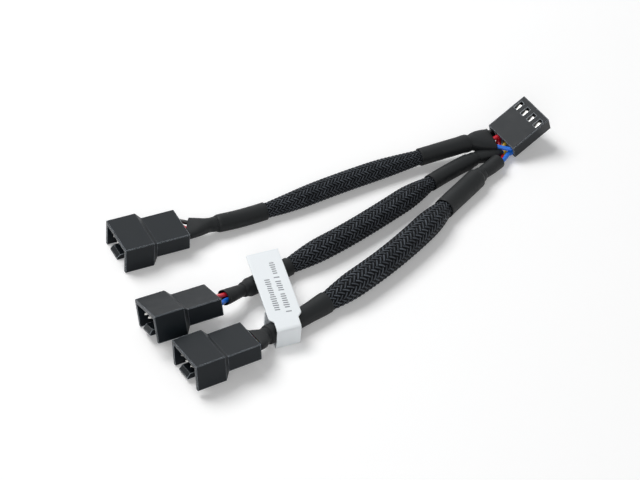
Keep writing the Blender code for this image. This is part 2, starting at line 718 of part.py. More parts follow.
def wire_tube_sections(branch, distances, wide_end, wide, slack):
    """Sections of a thin tube, round over the bundle and opening to a flat oval at its wide end."""
    inner = bundle_core(len(BRANCH_WIRES[branch])) + NEST_GAP + slack
    found = []
    for distance in distances:
        places = wire_places(branch, distance)
        share = eased(abs(distance - wide_end[0]) / abs(wide_end[1] - wide_end[0]))
        reach = WIRE_DIAMETER / 2 + NEST_GAP + MOUTH_SLACK * (1 - share)
        spread = max(abs(side) for side, _ in places.values()) + reach
        height = max(abs(rise) for _, rise in places.values()) + reach
        least = wide / 2 - WIRE_TUBE_WALL
        height = max(height, least + (inner - least) * share)
        spread = max(spread, inner * share)
        half_width, half_height = oval_around(places, spread, height, reach)
        lean = mouth_lean(branch, distance)
        found.append((distance, half_width + WIRE_TUBE_WALL, half_height + WIRE_TUBE_WALL, lean))
    return found


def branch_sleeves(branch, route, collection, tube_material, braid_material):
    """Thin tube on the wires, thicker tube over the braid's end, the braid, then the same two again."""
    stations = STATIONS[branch]
    snug = bundle_core(len(BRANCH_WIRES[branch])) + NEST_GAP + WIRE_TUBE_WALL
    plug_slim = snug + PLUG_TUBE_SLACK[branch] + NEST_GAP + SLEEVE_TUBE_WALL
    socket_slim = snug + SOCKET_TUBE_SLACK[branch] + NEST_GAP + SLEEVE_TUBE_WALL
    plug_thick = PLUG_SLEEVE_RADIUS[branch]
    plug_widest = plug_thick + PLUG_SLEEVE_GROWTH[branch]
    socket_thick = SOCKET_SLEEVE_RADIUS[branch]
    tucked = SLEEVE_TUBE_WALL + NEST_GAP
    full = BRAID_RADIUS[branch]
    plug_mouth, plug_lip = stations["wire_tube"], stations["sleeve_tube"]
    socket_lip, socket_mouth = stations["socket_wire_tube"], stations["fan_out"]
    braid_start = plug_lip + BRAID_TUCK
    braid_end = socket_lip - BRAID_TUCK
    plug_step = braid_start - NEST_GAP
    socket_step = braid_end + NEST_GAP
    plug_end, socket_start = stations["braid"], stations["socket_tube"]
    growth_start = plug_end - GROWTH_LENGTH
    full_start = plug_end + BRAID_SWELL_LENGTH[branch]
    full_end = socket_start - BRAID_SWELL_LENGTH[branch]
    number = branch + 1

    sleeve(f"plug_wire_tube_{number}", route, wire_tube_sections(
        branch, [*spaced(plug_mouth, plug_lip, FINE_STEP), plug_step],
        (plug_mouth, plug_lip), PLUG_MOUTH_HEIGHT, PLUG_TUBE_SLACK[branch],
    ), WIRE_TUBE_WALL, collection, tube_material)
    sleeve(f"plug_sleeve_tube_{number}", route, [
        round_section(plug_lip, plug_slim),
        *round_run(plug_step - SLEEVE_STEP, plug_step, plug_slim, plug_thick, SLEEVE_STEP),
        *round_run(plug_step, growth_start, plug_thick, plug_thick, COARSE_STEP)[1:],
        *round_run(growth_start, plug_end, plug_thick, plug_widest, SWELL_STEP)[1:],
    ], SLEEVE_TUBE_WALL, collection, tube_material)
    sleeve(f"braided_sleeve_{number}", route, [
        *round_run(braid_start, growth_start, plug_thick - tucked, plug_thick - tucked, COARSE_STEP),
        *round_run(growth_start, plug_end, plug_thick - tucked, plug_widest - tucked, SWELL_STEP)[1:],
        *swell_run(plug_end, full_start, plug_widest - tucked, full)[1:],
        *round_run(full_start, full_end, full, full, COARSE_STEP)[1:],
        *swell_run(socket_start, full_end, socket_thick - tucked, full)[-2::-1],
        *round_run(socket_start, braid_end, socket_thick - tucked, socket_thick - tucked, COARSE_STEP)[1:],
    ], BRAID_WALL, collection, braid_material)
    sleeve(f"socket_sleeve_tube_{number}", route, [
        *round_run(socket_start, socket_step, socket_thick, socket_thick, COARSE_STEP),
        *round_run(socket_step, socket_step + SLEEVE_STEP, socket_thick, socket_slim, SLEEVE_STEP)[1:],
        round_section(socket_lip, socket_slim),
    ], SLEEVE_TUBE_WALL, collection, tube_material)
    sleeve(f"socket_wire_tube_{number}", route, wire_tube_sections(
        branch, [socket_step, *spaced(socket_lip, socket_mouth, FINE_STEP)],
        (socket_mouth, socket_lip), SOCKET_MOUTH_HEIGHT, SOCKET_TUBE_SLACK[branch],
    ), WIRE_TUBE_WALL, collection, tube_material)


def flat_outline(name, outlines, thickness, workshop):
    """A flat plate from closed outlines in XY, as a mesh object standing on Z = 0."""
    curve = bpy.data.curves.new(name, "CURVE")
    curve.dimensions = "2D"
    curve.fill_mode = "BOTH"
    curve.extrude = thickness / 2
    for outline in outlines:
        spline = curve.splines.new("POLY")
        spline.points.add(len(outline) - 1)
        for target, (x, y) in zip(spline.points, outline):
            target.co = (x, y, 0.0, 1.0)
        spline.use_cyclic_u = True
    guide = bpy.data.objects.new(name, curve)
    workshop.objects.link(guide)
    mesh = baked(guide, [])
    body = bmesh.new()
    body.from_mesh(mesh)
    bmesh.ops.remove_doubles(body, verts=body.verts, dist=MERGE)
    bmesh.ops.translate(body, vec=(0.0, 0.0, thickness / 2), verts=body.verts)
    bmesh.ops.recalc_face_normals(body, faces=body.faces)
    body.to_mesh(mesh)
    body.free()
    return new_object(name, mesh, workshop)


def rounded_rectangle(low, high, radius, steps):
    """Corner arcs of an upright rectangle, anticlockwise."""
    centres = (
        (high[0] - radius, low[1] + radius, -90), (high[0] - radius, high[1] - radius, 0),
        (low[0] + radius, high[1] - radius, 90), (low[0] + radius, low[1] + radius, 180),
    )
    return [
        (x + radius * math.cos(math.radians(start + 90 * step / steps)),
         y + radius * math.sin(math.radians(start + 90 * step / steps)))
        for x, y, start in centres for step in range(steps + 1)
    ]


def paper_label(collection, workshop, material):
    """A neck wrapped boxwise round the third branch, with a doubled flag laid over the second."""
    outer = rounded_rectangle((0.0, -WRAP_HEIGHT), (WRAP_DEPTH, 0.0), FOLD_RADIUS, 3)
    inner = rounded_rectangle(
        (PAPER, -WRAP_HEIGHT + PAPER), (WRAP_DEPTH - PAPER, -PAPER), FOLD_RADIUS - PAPER, 3)
    wrap = flat_outline("label_wrap", [outer, inner[::-1]], LABEL_NECK_WIDTH, workshop)
    # The outline's X runs across the wrap, its Y up, and its thickness along the cable.
    wrap.data.transform(Matrix(((0, 0, 1, 0), (1, 0, 0, 0), (0, 1, 0, 0), (0, 0, 0, 1))))
    lean = FLAG_YAW - LABEL_YAW
    spare = (FLAG_WIDTH - LABEL_NECK_WIDTH) / 2
    outline = [
        (0.0, FOLD_RADIUS), (LABEL_NECK_WIDTH, FOLD_RADIUS), (LABEL_NECK_WIDTH, LABEL_SHOULDER_START),
        (LABEL_NECK_WIDTH + spare, LABEL_SHOULDER_END), (LABEL_NECK_WIDTH + spare, FLAG_END),
        (-spare, FLAG_END), (-spare, LABEL_SHOULDER_END), (0.0, LABEL_SHOULDER_START),
    ]
    leaned = [(x + y * math.cos(lean), y * math.sin(lean)) for x, y in outline]
    flag = flat_outline("label_flag", [leaned], FLAG_THICKNESS, workshop)
    flag.data.transform(Matrix.Translation((0.0, 0.0, -PAPER)))
    combine(wrap, "UNION", [flag])
    mesh = baked(wrap, [flag])
    mesh.name = "paper_label"
    item = new_object("paper_label", mesh, collection, material)
    item.location = LABEL_CORNER
    item.rotation_euler = (LABEL_TILT, 0.0, LABEL_YAW)
    return item


def place_housing(name, mesh, frame, collection, material):
    item = new_object(name, mesh, collection, material)
    item.parent = frame
    return item


def housing_frame(name, pose, collection):
    """An empty at a housing's own origin, which carries the housing and its contacts."""
    frame = bpy.data.objects.new(name, None)
    frame.matrix_world = pose
    collection.objects.link(frame)
    return frame


def build():
    clear_scene()
    cable = new_collection("fan_splitter_cable")
    workshop = new_collection("cutters")
    black_plastic = new_material("black_plastic", (0.022, 0.024, 0.026), 0.42)
    tinned_brass = new_material("tinned_brass", (0.78, 0.77, 0.74), 0.28, 1.0)
    shrink_tube = new_material("shrink_tube", (0.030, 0.032, 0.034), 0.55)
    braid = new_material("braid", (0.018, 0.019, 0.022), 0.60)
    paper = new_material("paper", (0.80, 0.84, 0.86), 0.60)
    wire_colors = {
        "black": new_material("wire_black", (0.02, 0.02, 0.02), 0.45),
        "red": new_material("wire_red", (0.60, 0.02, 0.03), 0.40),
        "yellow": new_material("wire_yellow", (0.80, 0.62, 0.05), 0.40),
        "blue": new_material("wire_blue", (0.02, 0.20, 0.72), 0.40),
    }
    plug_mesh = plug_housing_mesh(workshop)
    pin_mesh = plug_pin_mesh(workshop)
    terminal_mesh = socket_terminal_mesh(workshop)
    socket_pose = pose_matrix(SOCKET_PLACE, SOCKET_TURN)
    socket = housing_frame("socket_frame", socket_pose, cable)
    place_housing("female_housing", socket_housing_mesh(workshop), socket, cable, black_plastic)
    for number in range(1, CONTACTS + 1):
        terminal = place_housing(f"female_terminal_{number}", terminal_mesh, socket, cable, tinned_brass)
        terminal.location.y = contact_y(number)
    for branch, (place, turn) in enumerate(zip(PLUG_PLACES, PLUG_TURNS)):
        plug_pose = pose_matrix(place, turn)
        plug = housing_frame(f"plug_frame_{branch + 1}", plug_pose, cable)
        place_housing(f"male_housing_{branch + 1}", plug_mesh, plug, cable, black_plastic)
        route = Route(branch, plug_pose, socket_pose)
        for number, color in BRANCH_WIRES[branch].items():
            pin = place_housing(f"male_pin_{branch + 1}_{number}", pin_mesh, plug, cable, tinned_brass)
            pin.location.y = contact_y(number)
            tube_curve(
                f"{color}_wire_{branch + 1}", wire_points(branch, number, route, plug_pose, socket_pose),
                WIRE_DIAMETER / 2, cable, wire_colors[color])
        branch_sleeves(branch, route, cable, shrink_tube, braid)
    paper_label(cable, workshop, paper)


build()
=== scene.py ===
"""Looks of a three-way splitter lead for four-pin computer fans.

The moulded housings and the metal contacts keep their solid shapes and get their finishes here.
The wires, braided sleeves, shrink tubes and paper flag are made again as finer surfaces along the
same routes, and their ends at the housings follow the photographed cable more closely than the
solids do. Metres, +Z up, +X along the lead from the plugs to the socket.
"""

import math

import bpy
import numpy as np
from mathutils import Euler, Matrix, Vector


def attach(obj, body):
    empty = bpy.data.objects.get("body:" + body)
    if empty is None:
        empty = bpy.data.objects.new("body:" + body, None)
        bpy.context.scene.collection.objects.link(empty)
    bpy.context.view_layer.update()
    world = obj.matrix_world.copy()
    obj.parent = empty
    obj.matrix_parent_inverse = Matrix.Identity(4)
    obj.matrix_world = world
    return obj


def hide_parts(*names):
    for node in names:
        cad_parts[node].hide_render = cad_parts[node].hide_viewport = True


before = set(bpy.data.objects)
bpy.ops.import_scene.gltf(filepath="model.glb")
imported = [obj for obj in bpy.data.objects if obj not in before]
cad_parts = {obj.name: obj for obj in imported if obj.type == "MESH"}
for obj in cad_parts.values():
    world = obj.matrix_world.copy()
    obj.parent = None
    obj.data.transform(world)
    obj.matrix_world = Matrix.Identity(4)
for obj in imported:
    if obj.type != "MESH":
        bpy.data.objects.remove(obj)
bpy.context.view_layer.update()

# Contacts, wires and housings, as the solids have them
CONTACTS = 4
PITCH = 0.00254
WIRE_DIAMETER = 0.00115
WIRE_SPACING = 0.00122
NEST_GAP = 0.00011
PLUG_LENGTH = 0.01805
PIN_HEIGHT = 0.0039
SOCKET_MID_HEIGHT = 0.0024
WIRE_INSERTION = 0.0020

# Braids and tubes. A row of three values is for branches 1 to 3
BRAID_RADIUS = (0.00277, 0.00315, 0.00354)
BRAID_SWELL_LENGTH = (0.016, 0.012, 0.011)
BRAID_TUCK = 0.0030
SLEEVE_TUBE_WALL = 0.00025
SLEEVE_STEP = 0.0014
LIP_LENGTH = 0.0008
LIP_WALL = 0.00008
LIP_CLOSENESS = 0.8
PLUG_SLEEVE_RADIUS = (0.00236, 0.0024, 0.0025)
PLUG_SLEEVE_GROWTH = (0.0, 0.0, 0.00033)
GROWTH_LENGTH = 0.007
SOCKET_SLEEVE_RADIUS = (0.00236, 0.00222, 0.00275)
WIRE_TUBE_WALL = 0.0002
PLUG_TUBE_SLACK = (0.0004, 0.0, 0.00039)
SOCKET_TUBE_SLACK = (0.0005, 0.0, 0.0)
PLUG_MOUTH_WIDTH = (0.0065, 0.0037, 0.0074)
PLUG_MOUTH_HEIGHT = 0.0024
PLUG_MOUTH_LEAN = (0.28, 0.0, 0.06)
SOCKET_MOUTH_WIDTH = (0.0064, 0.0044, 0.0035)
SOCKET_MOUTH_HEIGHT = 0.0023
SOCKET_MOUTH_RISE = (-0.0009, 0.0007, 0.0003)
MOUTH_SLACK = 0.00026
FLAT_SQUARENESS = 0.35

# Paper flag
PAPER = 0.00025
LABEL_NECK_WIDTH = 0.0064
LABEL_SHOULDER_START = 0.0034
LABEL_SHOULDER_END = 0.0046
FLAG_WIDTH = 0.0086
FLAG_END = 0.0282
WRAP_DEPTH = 0.0081
WRAP_HEIGHT = 0.0058
FOLD_RADIUS = 0.0006
LABEL_CORNER = (-0.0434, -0.0272, 0.00603)
LABEL_YAW = math.radians(-19.0)
LABEL_TILT = math.radians(2.0)
FLAG_YAW = math.radians(62.5)
FLAG_THICKNESS = 0.00045

# Where each housing lies, and its yaw, the rise of its +X end and its roll in degrees
PLUG_PLACES = ((-0.05186, 0.02428, 0.0), (-0.06538, -0.00502, 0.00206), (-0.0674, -0.02133, 0.0008))
PLUG_TURNS = ((-16.8, 0.0, 0.0), (-16.45, 2.5, -19.1), (-13.1, 2.4, -7.3))
SOCKET_PLACE = (0.0572, -0.0053, 0.00082)
SOCKET_TURN = (-7.4, 25.0, 11.4)

# Middle line of each branch between its plug and the socket, as the solids have it
ROUTES = (
    (
        (-0.0329, 0.0181, 0.0038), (-0.0259, 0.0160, 0.0030), (-0.0178, 0.0138, 0.0025),
        (-0.0071, 0.0113, 0.00262), (0.0076, 0.0089, 0.00284), (0.0210, 0.0064, 0.00284),
        (0.0339, 0.0030, 0.0032), (0.0432, -0.0004, 0.0042), (0.0494, -0.0027, 0.0048),
        (0.0530, -0.0044, 0.0050),
    ),
    (
        (-0.0456, -0.0095, 0.0062), (-0.0411, -0.0092, 0.0052), (-0.0349, -0.0085, 0.0037),
        (-0.0286, -0.0080, 0.0029), (-0.0217, -0.0078, 0.00265), (-0.0147, -0.0082, 0.0031),
        (-0.0042, -0.0085, 0.00325), (0.0073, -0.0081, 0.00325), (0.0212, -0.0071, 0.00316),
        (0.0306, -0.0061, 0.0027), (0.0393, -0.0057, 0.00245), (0.0463, -0.0058, 0.0021),
        (0.0507, -0.0063, 0.0017),
    ),
    (
        (-0.0484, -0.0251, 0.0051), (-0.0450, -0.0246, 0.0039), (-0.0416, -0.0244, 0.0033),
        (-0.0368, -0.0244, 0.0032), (-0.0309, -0.0244, 0.0031), (-0.0243, -0.0241, 0.0030),
        (-0.0167, -0.0240, 0.00357), (-0.0045, -0.0228, 0.00366), (0.0062, -0.0210, 0.00366),
        (0.0173, -0.0184, 0.00354), (0.0262, -0.0157, 0.0029), (0.0342, -0.0138, 0.00282),
        (0.0416, -0.0121, 0.00282), (0.0472, -0.0111, 0.0023), (0.0502, -0.0105, 0.0022),
    ),
)

# Distances along each branch at which its tubes and braid start or end
STATIONS = (
    {"wire_tube": 0.0012, "sleeve_tube": 0.0094, "braid": 0.0234, "socket_tube": 0.0706,
     "socket_wire_tube": 0.0851, "fan_out": 0.0916},
    {"wire_tube": 0.0026, "sleeve_tube": 0.0093, "braid": 0.0262, "socket_tube": 0.0775,
     "socket_wire_tube": 0.0948, "fan_out": 0.1020},
    {"wire_tube": 0.0006, "sleeve_tube": 0.0055, "braid": 0.0258, "socket_tube": 0.0752,
     "socket_wire_tube": 0.0940, "fan_out": 0.1015},
)

# Colours of the wires by contact, their layer at the socket, and where each branch and wire arrives there
BRANCH_WIRES = (
    {1: "black", 2: "red", 4: "blue"},
    {1: "black", 2: "red", 4: "blue"},
    {1: "black", 2: "red", 3: "yellow", 4: "blue"},
)
BRANCH_LAYER = (2, 0, 1)
LAYER_RISE = 0.00127
LANDINGS = ((0.0010, 0.0040), (-0.0004, 0.0013), (-0.0030, 0.0025))
FAN_OUT = (
    {},
    {1: ((-0.0014, 0.0026, 0.0015),),
     2: ((-0.0014, 0.0008, 0.0016),),
     4: ((-0.0014, -0.0033, 0.0017),)},
    {1: ((-0.0042, -0.0030, 0.0040), (-0.0024, 0.0006, 0.0030), (-0.0010, 0.0030, 0.0026)),
     2: ((-0.0033, -0.0042, 0.0030), (-0.0016, -0.0012, 0.0024)),
     3: ((-0.0026, -0.0041, 0.0024),),
     4: ((-0.0032, -0.0052, 0.0039),)},
)

# Steps along the lines, and the lengths over which wires and rolls change
ROUTE_LEAD = 0.003
ROUTE_STEPS = 10
TANGENT_STEP = 0.0004
ROLL_LENGTH = 0.018
EXIT_LENGTH = 0.0002
EXIT_PINCH = 0.91
RISE_LEAD = 1.7
WIRE_ROUTE_STEP = 0.0016
WIRE_CURVE_STEPS = 6
WIRE_STEP = 0.0008

# Grids of the finer surfaces
WIRE_SIDES = 18
TUBE_SIDES = 60
TUBE_STEP = 0.00035

# Weave of the braids: strands that wind each way round, how many of the others each floats over,
# threads in a strand, and how far the strands stand out
BRAID_STRANDS = 16
BRAID_FLOAT = 2
BRAID_THREADS = 5
BRAID_RELIEF = 0.00032
BRAID_SIDES = 208
BRAID_STEP = 0.00022

# Paper flag's grid, bow and folds, and its print: rows of short strokes, each with its distance
# from the label's corner across the flag, and where it starts and ends along the flag
LABEL_STEP = 0.0003
LABEL_SIDES = 24
LABEL_BOW = 0.00018
LABEL_EDGE_SOFTNESS = 0.16
LABEL_SHARP_ANGLE = math.radians(50.0)
FOLD_ANGLES = 9
PRINT_ROWS = ((-0.00447, 0.0062, 0.0247), (-0.00184, 0.0064, 0.0186))
PRINT_PITCH = 0.00077
PRINT_HALF_HEIGHT = 0.00078

# Camera and light
CAMERA_LENS = 157.5
CAMERA_SENSOR = 36.0
CAMERA_TARGET = (-0.0068, -0.0029, 0.0)
CAMERA_DISTANCE = 0.7154
CAMERA_HEADING = math.radians(45.0)
CAMERA_ELEVATION = math.radians(39.93)
CAMERA_ROLL = math.radians(4.02)
FLOOR_HALF_WIDTH = 1.2
FLOOR_DROP = 0.00002
FLOOR_GLOW = 0.2
WORLD_STRENGTH = 0.16


def contact_y(number):
    return ((CONTACTS + 1) / 2 - number) * PITCH


def pose_matrix(place, turn):
    yaw, rise, roll = (math.radians(angle) for angle in turn)
    return np.array(Matrix.Translation(place) @ Euler((roll, -rise, yaw), "XYZ").to_matrix().to_4x4())


def placed(pose, points):
    """Points of a housing's own frame, in the shared frame."""
    points = np.atleast_2d(np.asarray(points, float))
    return points @ pose[:3, :3].T + pose[:3, 3]


def eased(share):
    share = np.clip(share, 0.0, 1.0)
    return share * share * (3.0 - 2.0 * share)


def unit(vectors):
    return vectors / np.linalg.norm(vectors, axis=-1, keepdims=True)


def smooth_span(before, start, end, after, steps):
    """Points from start up to, but not at, end, on the cubic with the slopes of the neighbours' chords."""
    length = np.linalg.norm(end - start)
    leave = unit(end - before) * length
    arrive = unit(after - start) * length
    t = (np.arange(steps) / steps)[:, None]
    return (start * (2 * t**3 - 3 * t**2 + 1) + leave * (t**3 - 2 * t**2 + t)
            + end * (3 * t**2 - 2 * t**3) + arrive * (t**3 - t**2))


def smooth_line(points, steps):
    """A smooth curve through all but the first and last points, which only set its ends' slopes."""
    points = np.asarray(points, float)
    spans = [smooth_span(*points[i:i + 4], steps) for i in range(len(points) - 3)]
    return np.vstack([*spans, points[-2:-1]])


def lengths_along(points):
    """Distance of each point from the first one, along the line through them."""
    return np.r_[0.0, np.cumsum(np.linalg.norm(np.diff(points, axis=0), axis=1))]


def resampled(points, step):
    """Evenly spaced points along a line, about a step apart."""
    lengths = lengths_along(points)
    at = np.linspace(0.0, lengths[-1], max(2, round(lengths[-1] / step) + 1))
    return np.column_stack([np.interp(at, lengths, points[:, axis]) for axis in range(3)])


class Route:
    """A branch's middle line, from its plug's rear face to the socket's rear face."""

    def __init__(self, branch, plug, socket):
        landing = LANDINGS[branch]
        self.points = smooth_line([
            *placed(plug, [(PLUG_LENGTH - ROUTE_LEAD, 0.0, PIN_HEIGHT), (PLUG_LENGTH, 0.0, PIN_HEIGHT)]),
            *ROUTES[branch],
            *placed(socket, [(0.0, *landing), (ROUTE_LEAD, *landing)]),
        ], ROUTE_STEPS)
        self.distances = lengths_along(self.points)
        self.start_roll = math.radians(PLUG_TURNS[branch][-1])
        self.end_roll = math.radians(SOCKET_TURN[-1])

    def place(self, distances):
        """Points at distances along the route."""
        return np.column_stack([
            np.interp(distances, self.distances, self.points[:, axis]) for axis in range(3)])

    def frames(self, distances):
        """Points there, with the directions along, across to +Y and up, rolled as the housings are."""
        distances = np.asarray(distances, float)
        here = self.place(distances)
        along = unit(self.place(distances + TANGENT_STEP) - self.place(distances - TANGENT_STEP))
        across = unit(np.cross((0.0, 0.0, 1.0), along))
        up = np.cross(along, across)
        near_start = eased(1.0 - distances / ROLL_LENGTH)
        near_end = eased(1.0 - (self.distances[-1] - distances) / ROLL_LENGTH)
        roll = (self.start_roll * near_start + self.end_roll * near_end)[:, None]
        turned_across = across * np.cos(roll) + up * np.sin(roll)
        turned_up = up * np.cos(roll) - across * np.sin(roll)
        return here, along, turned_across, turned_up


def bundle_radius(count):
    return WIRE_SPACING / (2 * math.sin(math.pi / count))


def bundle_core(count):
    return bundle_radius(count) + WIRE_DIAMETER / 2


def bundle_places(contacts):
    """Where each contact's wire lies in the round bundle, as (across, up)."""
    angles = {3: (-30, 90, 210), 4: (0, 90, -90, 180)}[len(contacts)]
    radius = bundle_radius(len(contacts))
    return {
        number: (radius * math.cos(math.radians(angle)), radius * math.sin(math.radians(angle)))
        for number, angle in zip(contacts, angles)
    }


def row_places(contacts, width):
    """Where each contact's wire lies when they are side by side in a flat sleeve."""
    reach = width / 2 - WIRE_TUBE_WALL - NEST_GAP - WIRE_DIAMETER / 2
    last = len(contacts) - 1
    return {number: (reach - 2 * reach * rank / last, 0.0) for rank, number in enumerate(contacts)}


def mouth_places(contacts, width):
    """Places in a sleeve's mouth: a row if it is wide enough, or else the bundle drawn out to fill it."""
    row = row_places(contacts, width)
    reach = row[contacts[0]][0]
    if 2 * reach >= WIRE_SPACING * (len(contacts) - 1):
        return row
    bundle = bundle_places(contacts)
    stretch = max(1.0, reach / max(side for side, _ in bundle.values()))
    return {number: (side * stretch, rise) for number, (side, rise) in bundle.items()}


def plug_mouth_share(branch, distances):
    """0 at the mouth of a plug's thin tube, 1 where the thick tube's lip covers it."""
    stations = STATIONS[branch]
    return (distances - stations["wire_tube"]) / (stations["sleeve_tube"] - stations["wire_tube"])


def mouth_lean(branch, distances):
    """How far the section leans along the route for each metre across it, from the slanted mouth on."""
    return PLUG_MOUTH_LEAN[branch] * (1.0 - eased(plug_mouth_share(branch, distances)))


def mouth_rise(branch, distances):
    """How far a branch is lifted above its route, from the end of its braid to its mouth at the socket."""
    start = STATIONS[branch]["socket_wire_tube"] - BRAID_TUCK
    return SOCKET_MOUTH_RISE[branch] * eased((distances - start) / (STATIONS[branch]["fan_out"] - start))


def wire_places(branch, distances):
    """Arrays of where each wire of a branch lies across the route. Wires change height before they cross."""
    contacts = tuple(BRANCH_WIRES[branch])
    lip, mouth = STATIONS[branch]["socket_wire_tube"], STATIONS[branch]["fan_out"]
    plug_mouth = mouth_places(contacts, PLUG_MOUTH_WIDTH[branch])
    bundle = bundle_places(contacts)
    socket_mouth = mouth_places(contacts, SOCKET_MOUTH_WIDTH[branch])
    gather = plug_mouth_share(branch, distances)
    spread = (distances - lip) / (mouth - lip)
    places = {}
    for number in contacts:
        first, middle, last = plug_mouth[number], bundle[number], socket_mouth[number]
        side = first[0] + (middle[0] - first[0]) * eased(gather) + (last[0] - middle[0]) * eased(spread)
        rise = first[1] + (middle[1] - first[1]) * eased(gather * RISE_LEAD)
        rise = rise + (last[1] - middle[1]) * eased(spread * RISE_LEAD - RISE_LEAD + 1)
        places[number] = (side, rise)
    return places


def wire_line(branch, number, route, plug, socket):
    """A wire's middle line, from its crimp in the plug to its crimp in the socket."""
    stations = STATIONS[branch]
    y = contact_y(number)
    start = placed(plug, [
        (PLUG_LENGTH - WIRE_INSERTION, y, PIN_HEIGHT),
        (PLUG_LENGTH - WIRE_INSERTION / 2, y, PIN_HEIGHT),
        (PLUG_LENGTH + EXIT_LENGTH, y * EXIT_PINCH, PIN_HEIGHT)])
    distances = np.arange(stations["wire_tube"], stations["fan_out"], WIRE_ROUTE_STEP)
    distances = np.append(distances, stations["fan_out"])
    here, along, across, up = route.frames(distances)
    side, rise = wire_places(branch, distances)[number]
    forward = side * mouth_lean(branch, distances)
    lift = rise + mouth_rise(branch, distances)
    inside = here + across * side[:, None] + up * lift[:, None] + along * forward[:, None]
    height = SOCKET_MID_HEIGHT + (BRANCH_LAYER[branch] - 1) * LAYER_RISE
    end = placed(socket, [
        *FAN_OUT[branch].get(number, ()),
        (-EXIT_LENGTH, y, height), (WIRE_INSERTION / 2, y, height), (WIRE_INSERTION, y, height)])
    line = np.vstack([start, inside, end])
    line = np.vstack([2 * line[0] - line[1], line, 2 * line[-1] - line[-2]])
    return resampled(smooth_line(line, WIRE_CURVE_STEPS), WIRE_STEP)


def oval_around(places, half_width, half_height, reach):
    """Half sizes of a flat oval, grown in proportion until it clears every wire."""
    power = 2 * (1.0 + FLAT_SQUARENESS * (half_width / half_height - 1.0))
    growth = np.ones_like(half_width)
    for side, rise in places.values():
        for angle in np.linspace(0.0, 2 * math.pi, 12, endpoint=False):
            x = np.abs(side + reach * math.cos(angle)) / half_width
            y = np.abs(rise + reach * math.sin(angle)) / half_height
            growth = np.maximum(growth, (x**power + y**power) ** (1 / power))
    return half_width * growth, half_height * growth


# Meshes from grids

def grid_mesh(name, grid, material, wrap_rows=False, heights=None):
    """A surface through a grid of points (rows, sides, 3) that closes round its sides.

    With wrap_rows its last row joins its first, as on a tube with an inside. Otherwise each end
    is a fan to the end row's middle. UV: u once round, v the row's height, or its distance along.
    """
    rows, sides = grid.shape[:2]
    points = grid.reshape(-1, 3)
    row_count = rows if wrap_rows else rows - 1
    row = np.repeat(np.arange(row_count), sides)
    side = np.tile(np.arange(sides), row_count)
    below = row * sides
    above = ((row + 1) % rows) * sides
    after = (side + 1) % sides
    quads = np.column_stack([below + side, below + after, above + after, above + side])
    middle = grid.mean(axis=1)
    along = lengths_along(middle) if heights is None else heights
    u = np.column_stack([side, side + 1, side + 1, side]) / sides
    v = np.column_stack([along[row], along[row], along[(row + 1) % rows], along[(row + 1) % rows]])
    faces = [*map(tuple, quads.tolist())]
    uv = [np.stack([u, v], axis=-1).reshape(-1, 2)]
    if not wrap_rows:
        points = np.vstack([points, middle[0], middle[-1]])
        ring = np.arange(sides)
        turn = (ring + 1) % sides
        first, last = len(points) - 2, len(points) - 1
        faces += [(first, b, a) for a, b in zip(ring.tolist(), turn.tolist())]
        faces += [(last, a, b) for a, b in zip(
            (ring + (rows - 1) * sides).tolist(), (turn + (rows - 1) * sides).tolist())]
        for end, order in ((along[0], [0, 2, 1]), (along[-1], [0, 1, 2])):
            turns = np.column_stack([ring + 0.5, ring, ring + 1])[:, order] / sides
            uv.append(np.stack([turns, np.full_like(turns, end)], axis=-1).reshape(-1, 2))
    mesh = bpy.data.meshes.new(name)
    mesh.from_pydata(points.tolist(), [], faces)
    layer = mesh.uv_layers.new(name="UVMap")
    layer.data.foreach_set("uv", np.vstack(uv).astype(np.float32).ravel())
    mesh.shade_smooth()
    mesh.materials.append(material)
    item = bpy.data.objects.new(name, mesh)
    bpy.context.scene.collection.objects.link(item)
    return item


def carried_rings(line, radius, sides):
    """Rings round a line, carried along it without twist: each starts from the last one's direction."""
    along = unit(np.gradient(line, axis=0))
    across = np.empty_like(line)
    carried = unit(np.cross((0.0, 0.0, 1.0), along[0]))
    for index, direction in enumerate(along):
        carried = unit(carried - direction * (carried @ direction))
        across[index] = carried
    up = np.cross(along, across)
    angle = np.linspace(0.0, 2 * math.pi, sides, endpoint=False)
    around = across[:, None] * np.cos(angle)[:, None] + up[:, None] * np.sin(angle)[:, None]
    return line[:, None] + radius * around


def oval_rings(route, distances, half_width, half_height, lean, lift, sides):
    """Superellipse rings: |x / width| and |y / height| to one power add up to 1, squarer when flatter.

    They lean along the route by a share of each point's place across it, and are lifted off it.
    """
    here, along, across, up = route.frames(distances)
    power = (1 / (1.0 + FLAT_SQUARENESS * (half_width / half_height - 1.0)))[:, None]
    angle = np.linspace(0.0, 2 * math.pi, sides, endpoint=False)
    flat = np.abs(np.cos(angle)) ** power * np.sign(np.cos(angle)) * half_width[:, None]
    tall = np.abs(np.sin(angle)) ** power * np.sign(np.sin(angle)) * half_height[:, None]
    tall = tall + np.broadcast_to(lift, distances.shape)[:, None]
    forward = flat * np.broadcast_to(lean, distances.shape)[:, None]
    return (here[:, None] + across[:, None] * flat[..., None] + up[:, None] * tall[..., None]
            + along[:, None] * forward[..., None])


def walled(outer, inner):
    """Outer rings, then the inner rings back again, which close into a tube with a wall."""
    return np.concatenate([outer, inner[::-1]])


# Node materials

def maths(tree, operation, *values):
    """The output of a Math node, whose inputs are numbers or other nodes' outputs."""
    made = tree.nodes.new("ShaderNodeMath")
    made.operation = operation
    for socket, value in zip(made.inputs, values):
        if isinstance(value, (int, float)):
            socket.default_value = value
        else:
            tree.links.new(value, socket)
    return made.outputs[0]


def new_material(name, color, roughness, **values):
    """A Principled material with constant values set on its own sockets."""
    material = bpy.data.materials.new(name)
    material.use_nodes = True
    shader = material.node_tree.nodes["Principled BSDF"]
    shader.inputs["Base Color"].default_value = (*color, 1.0)
    shader.inputs["Roughness"].default_value = roughness
    for socket, value in values.items():
        shader.inputs[socket.replace("_", " ")].default_value = value
    return material, material.node_tree, shader


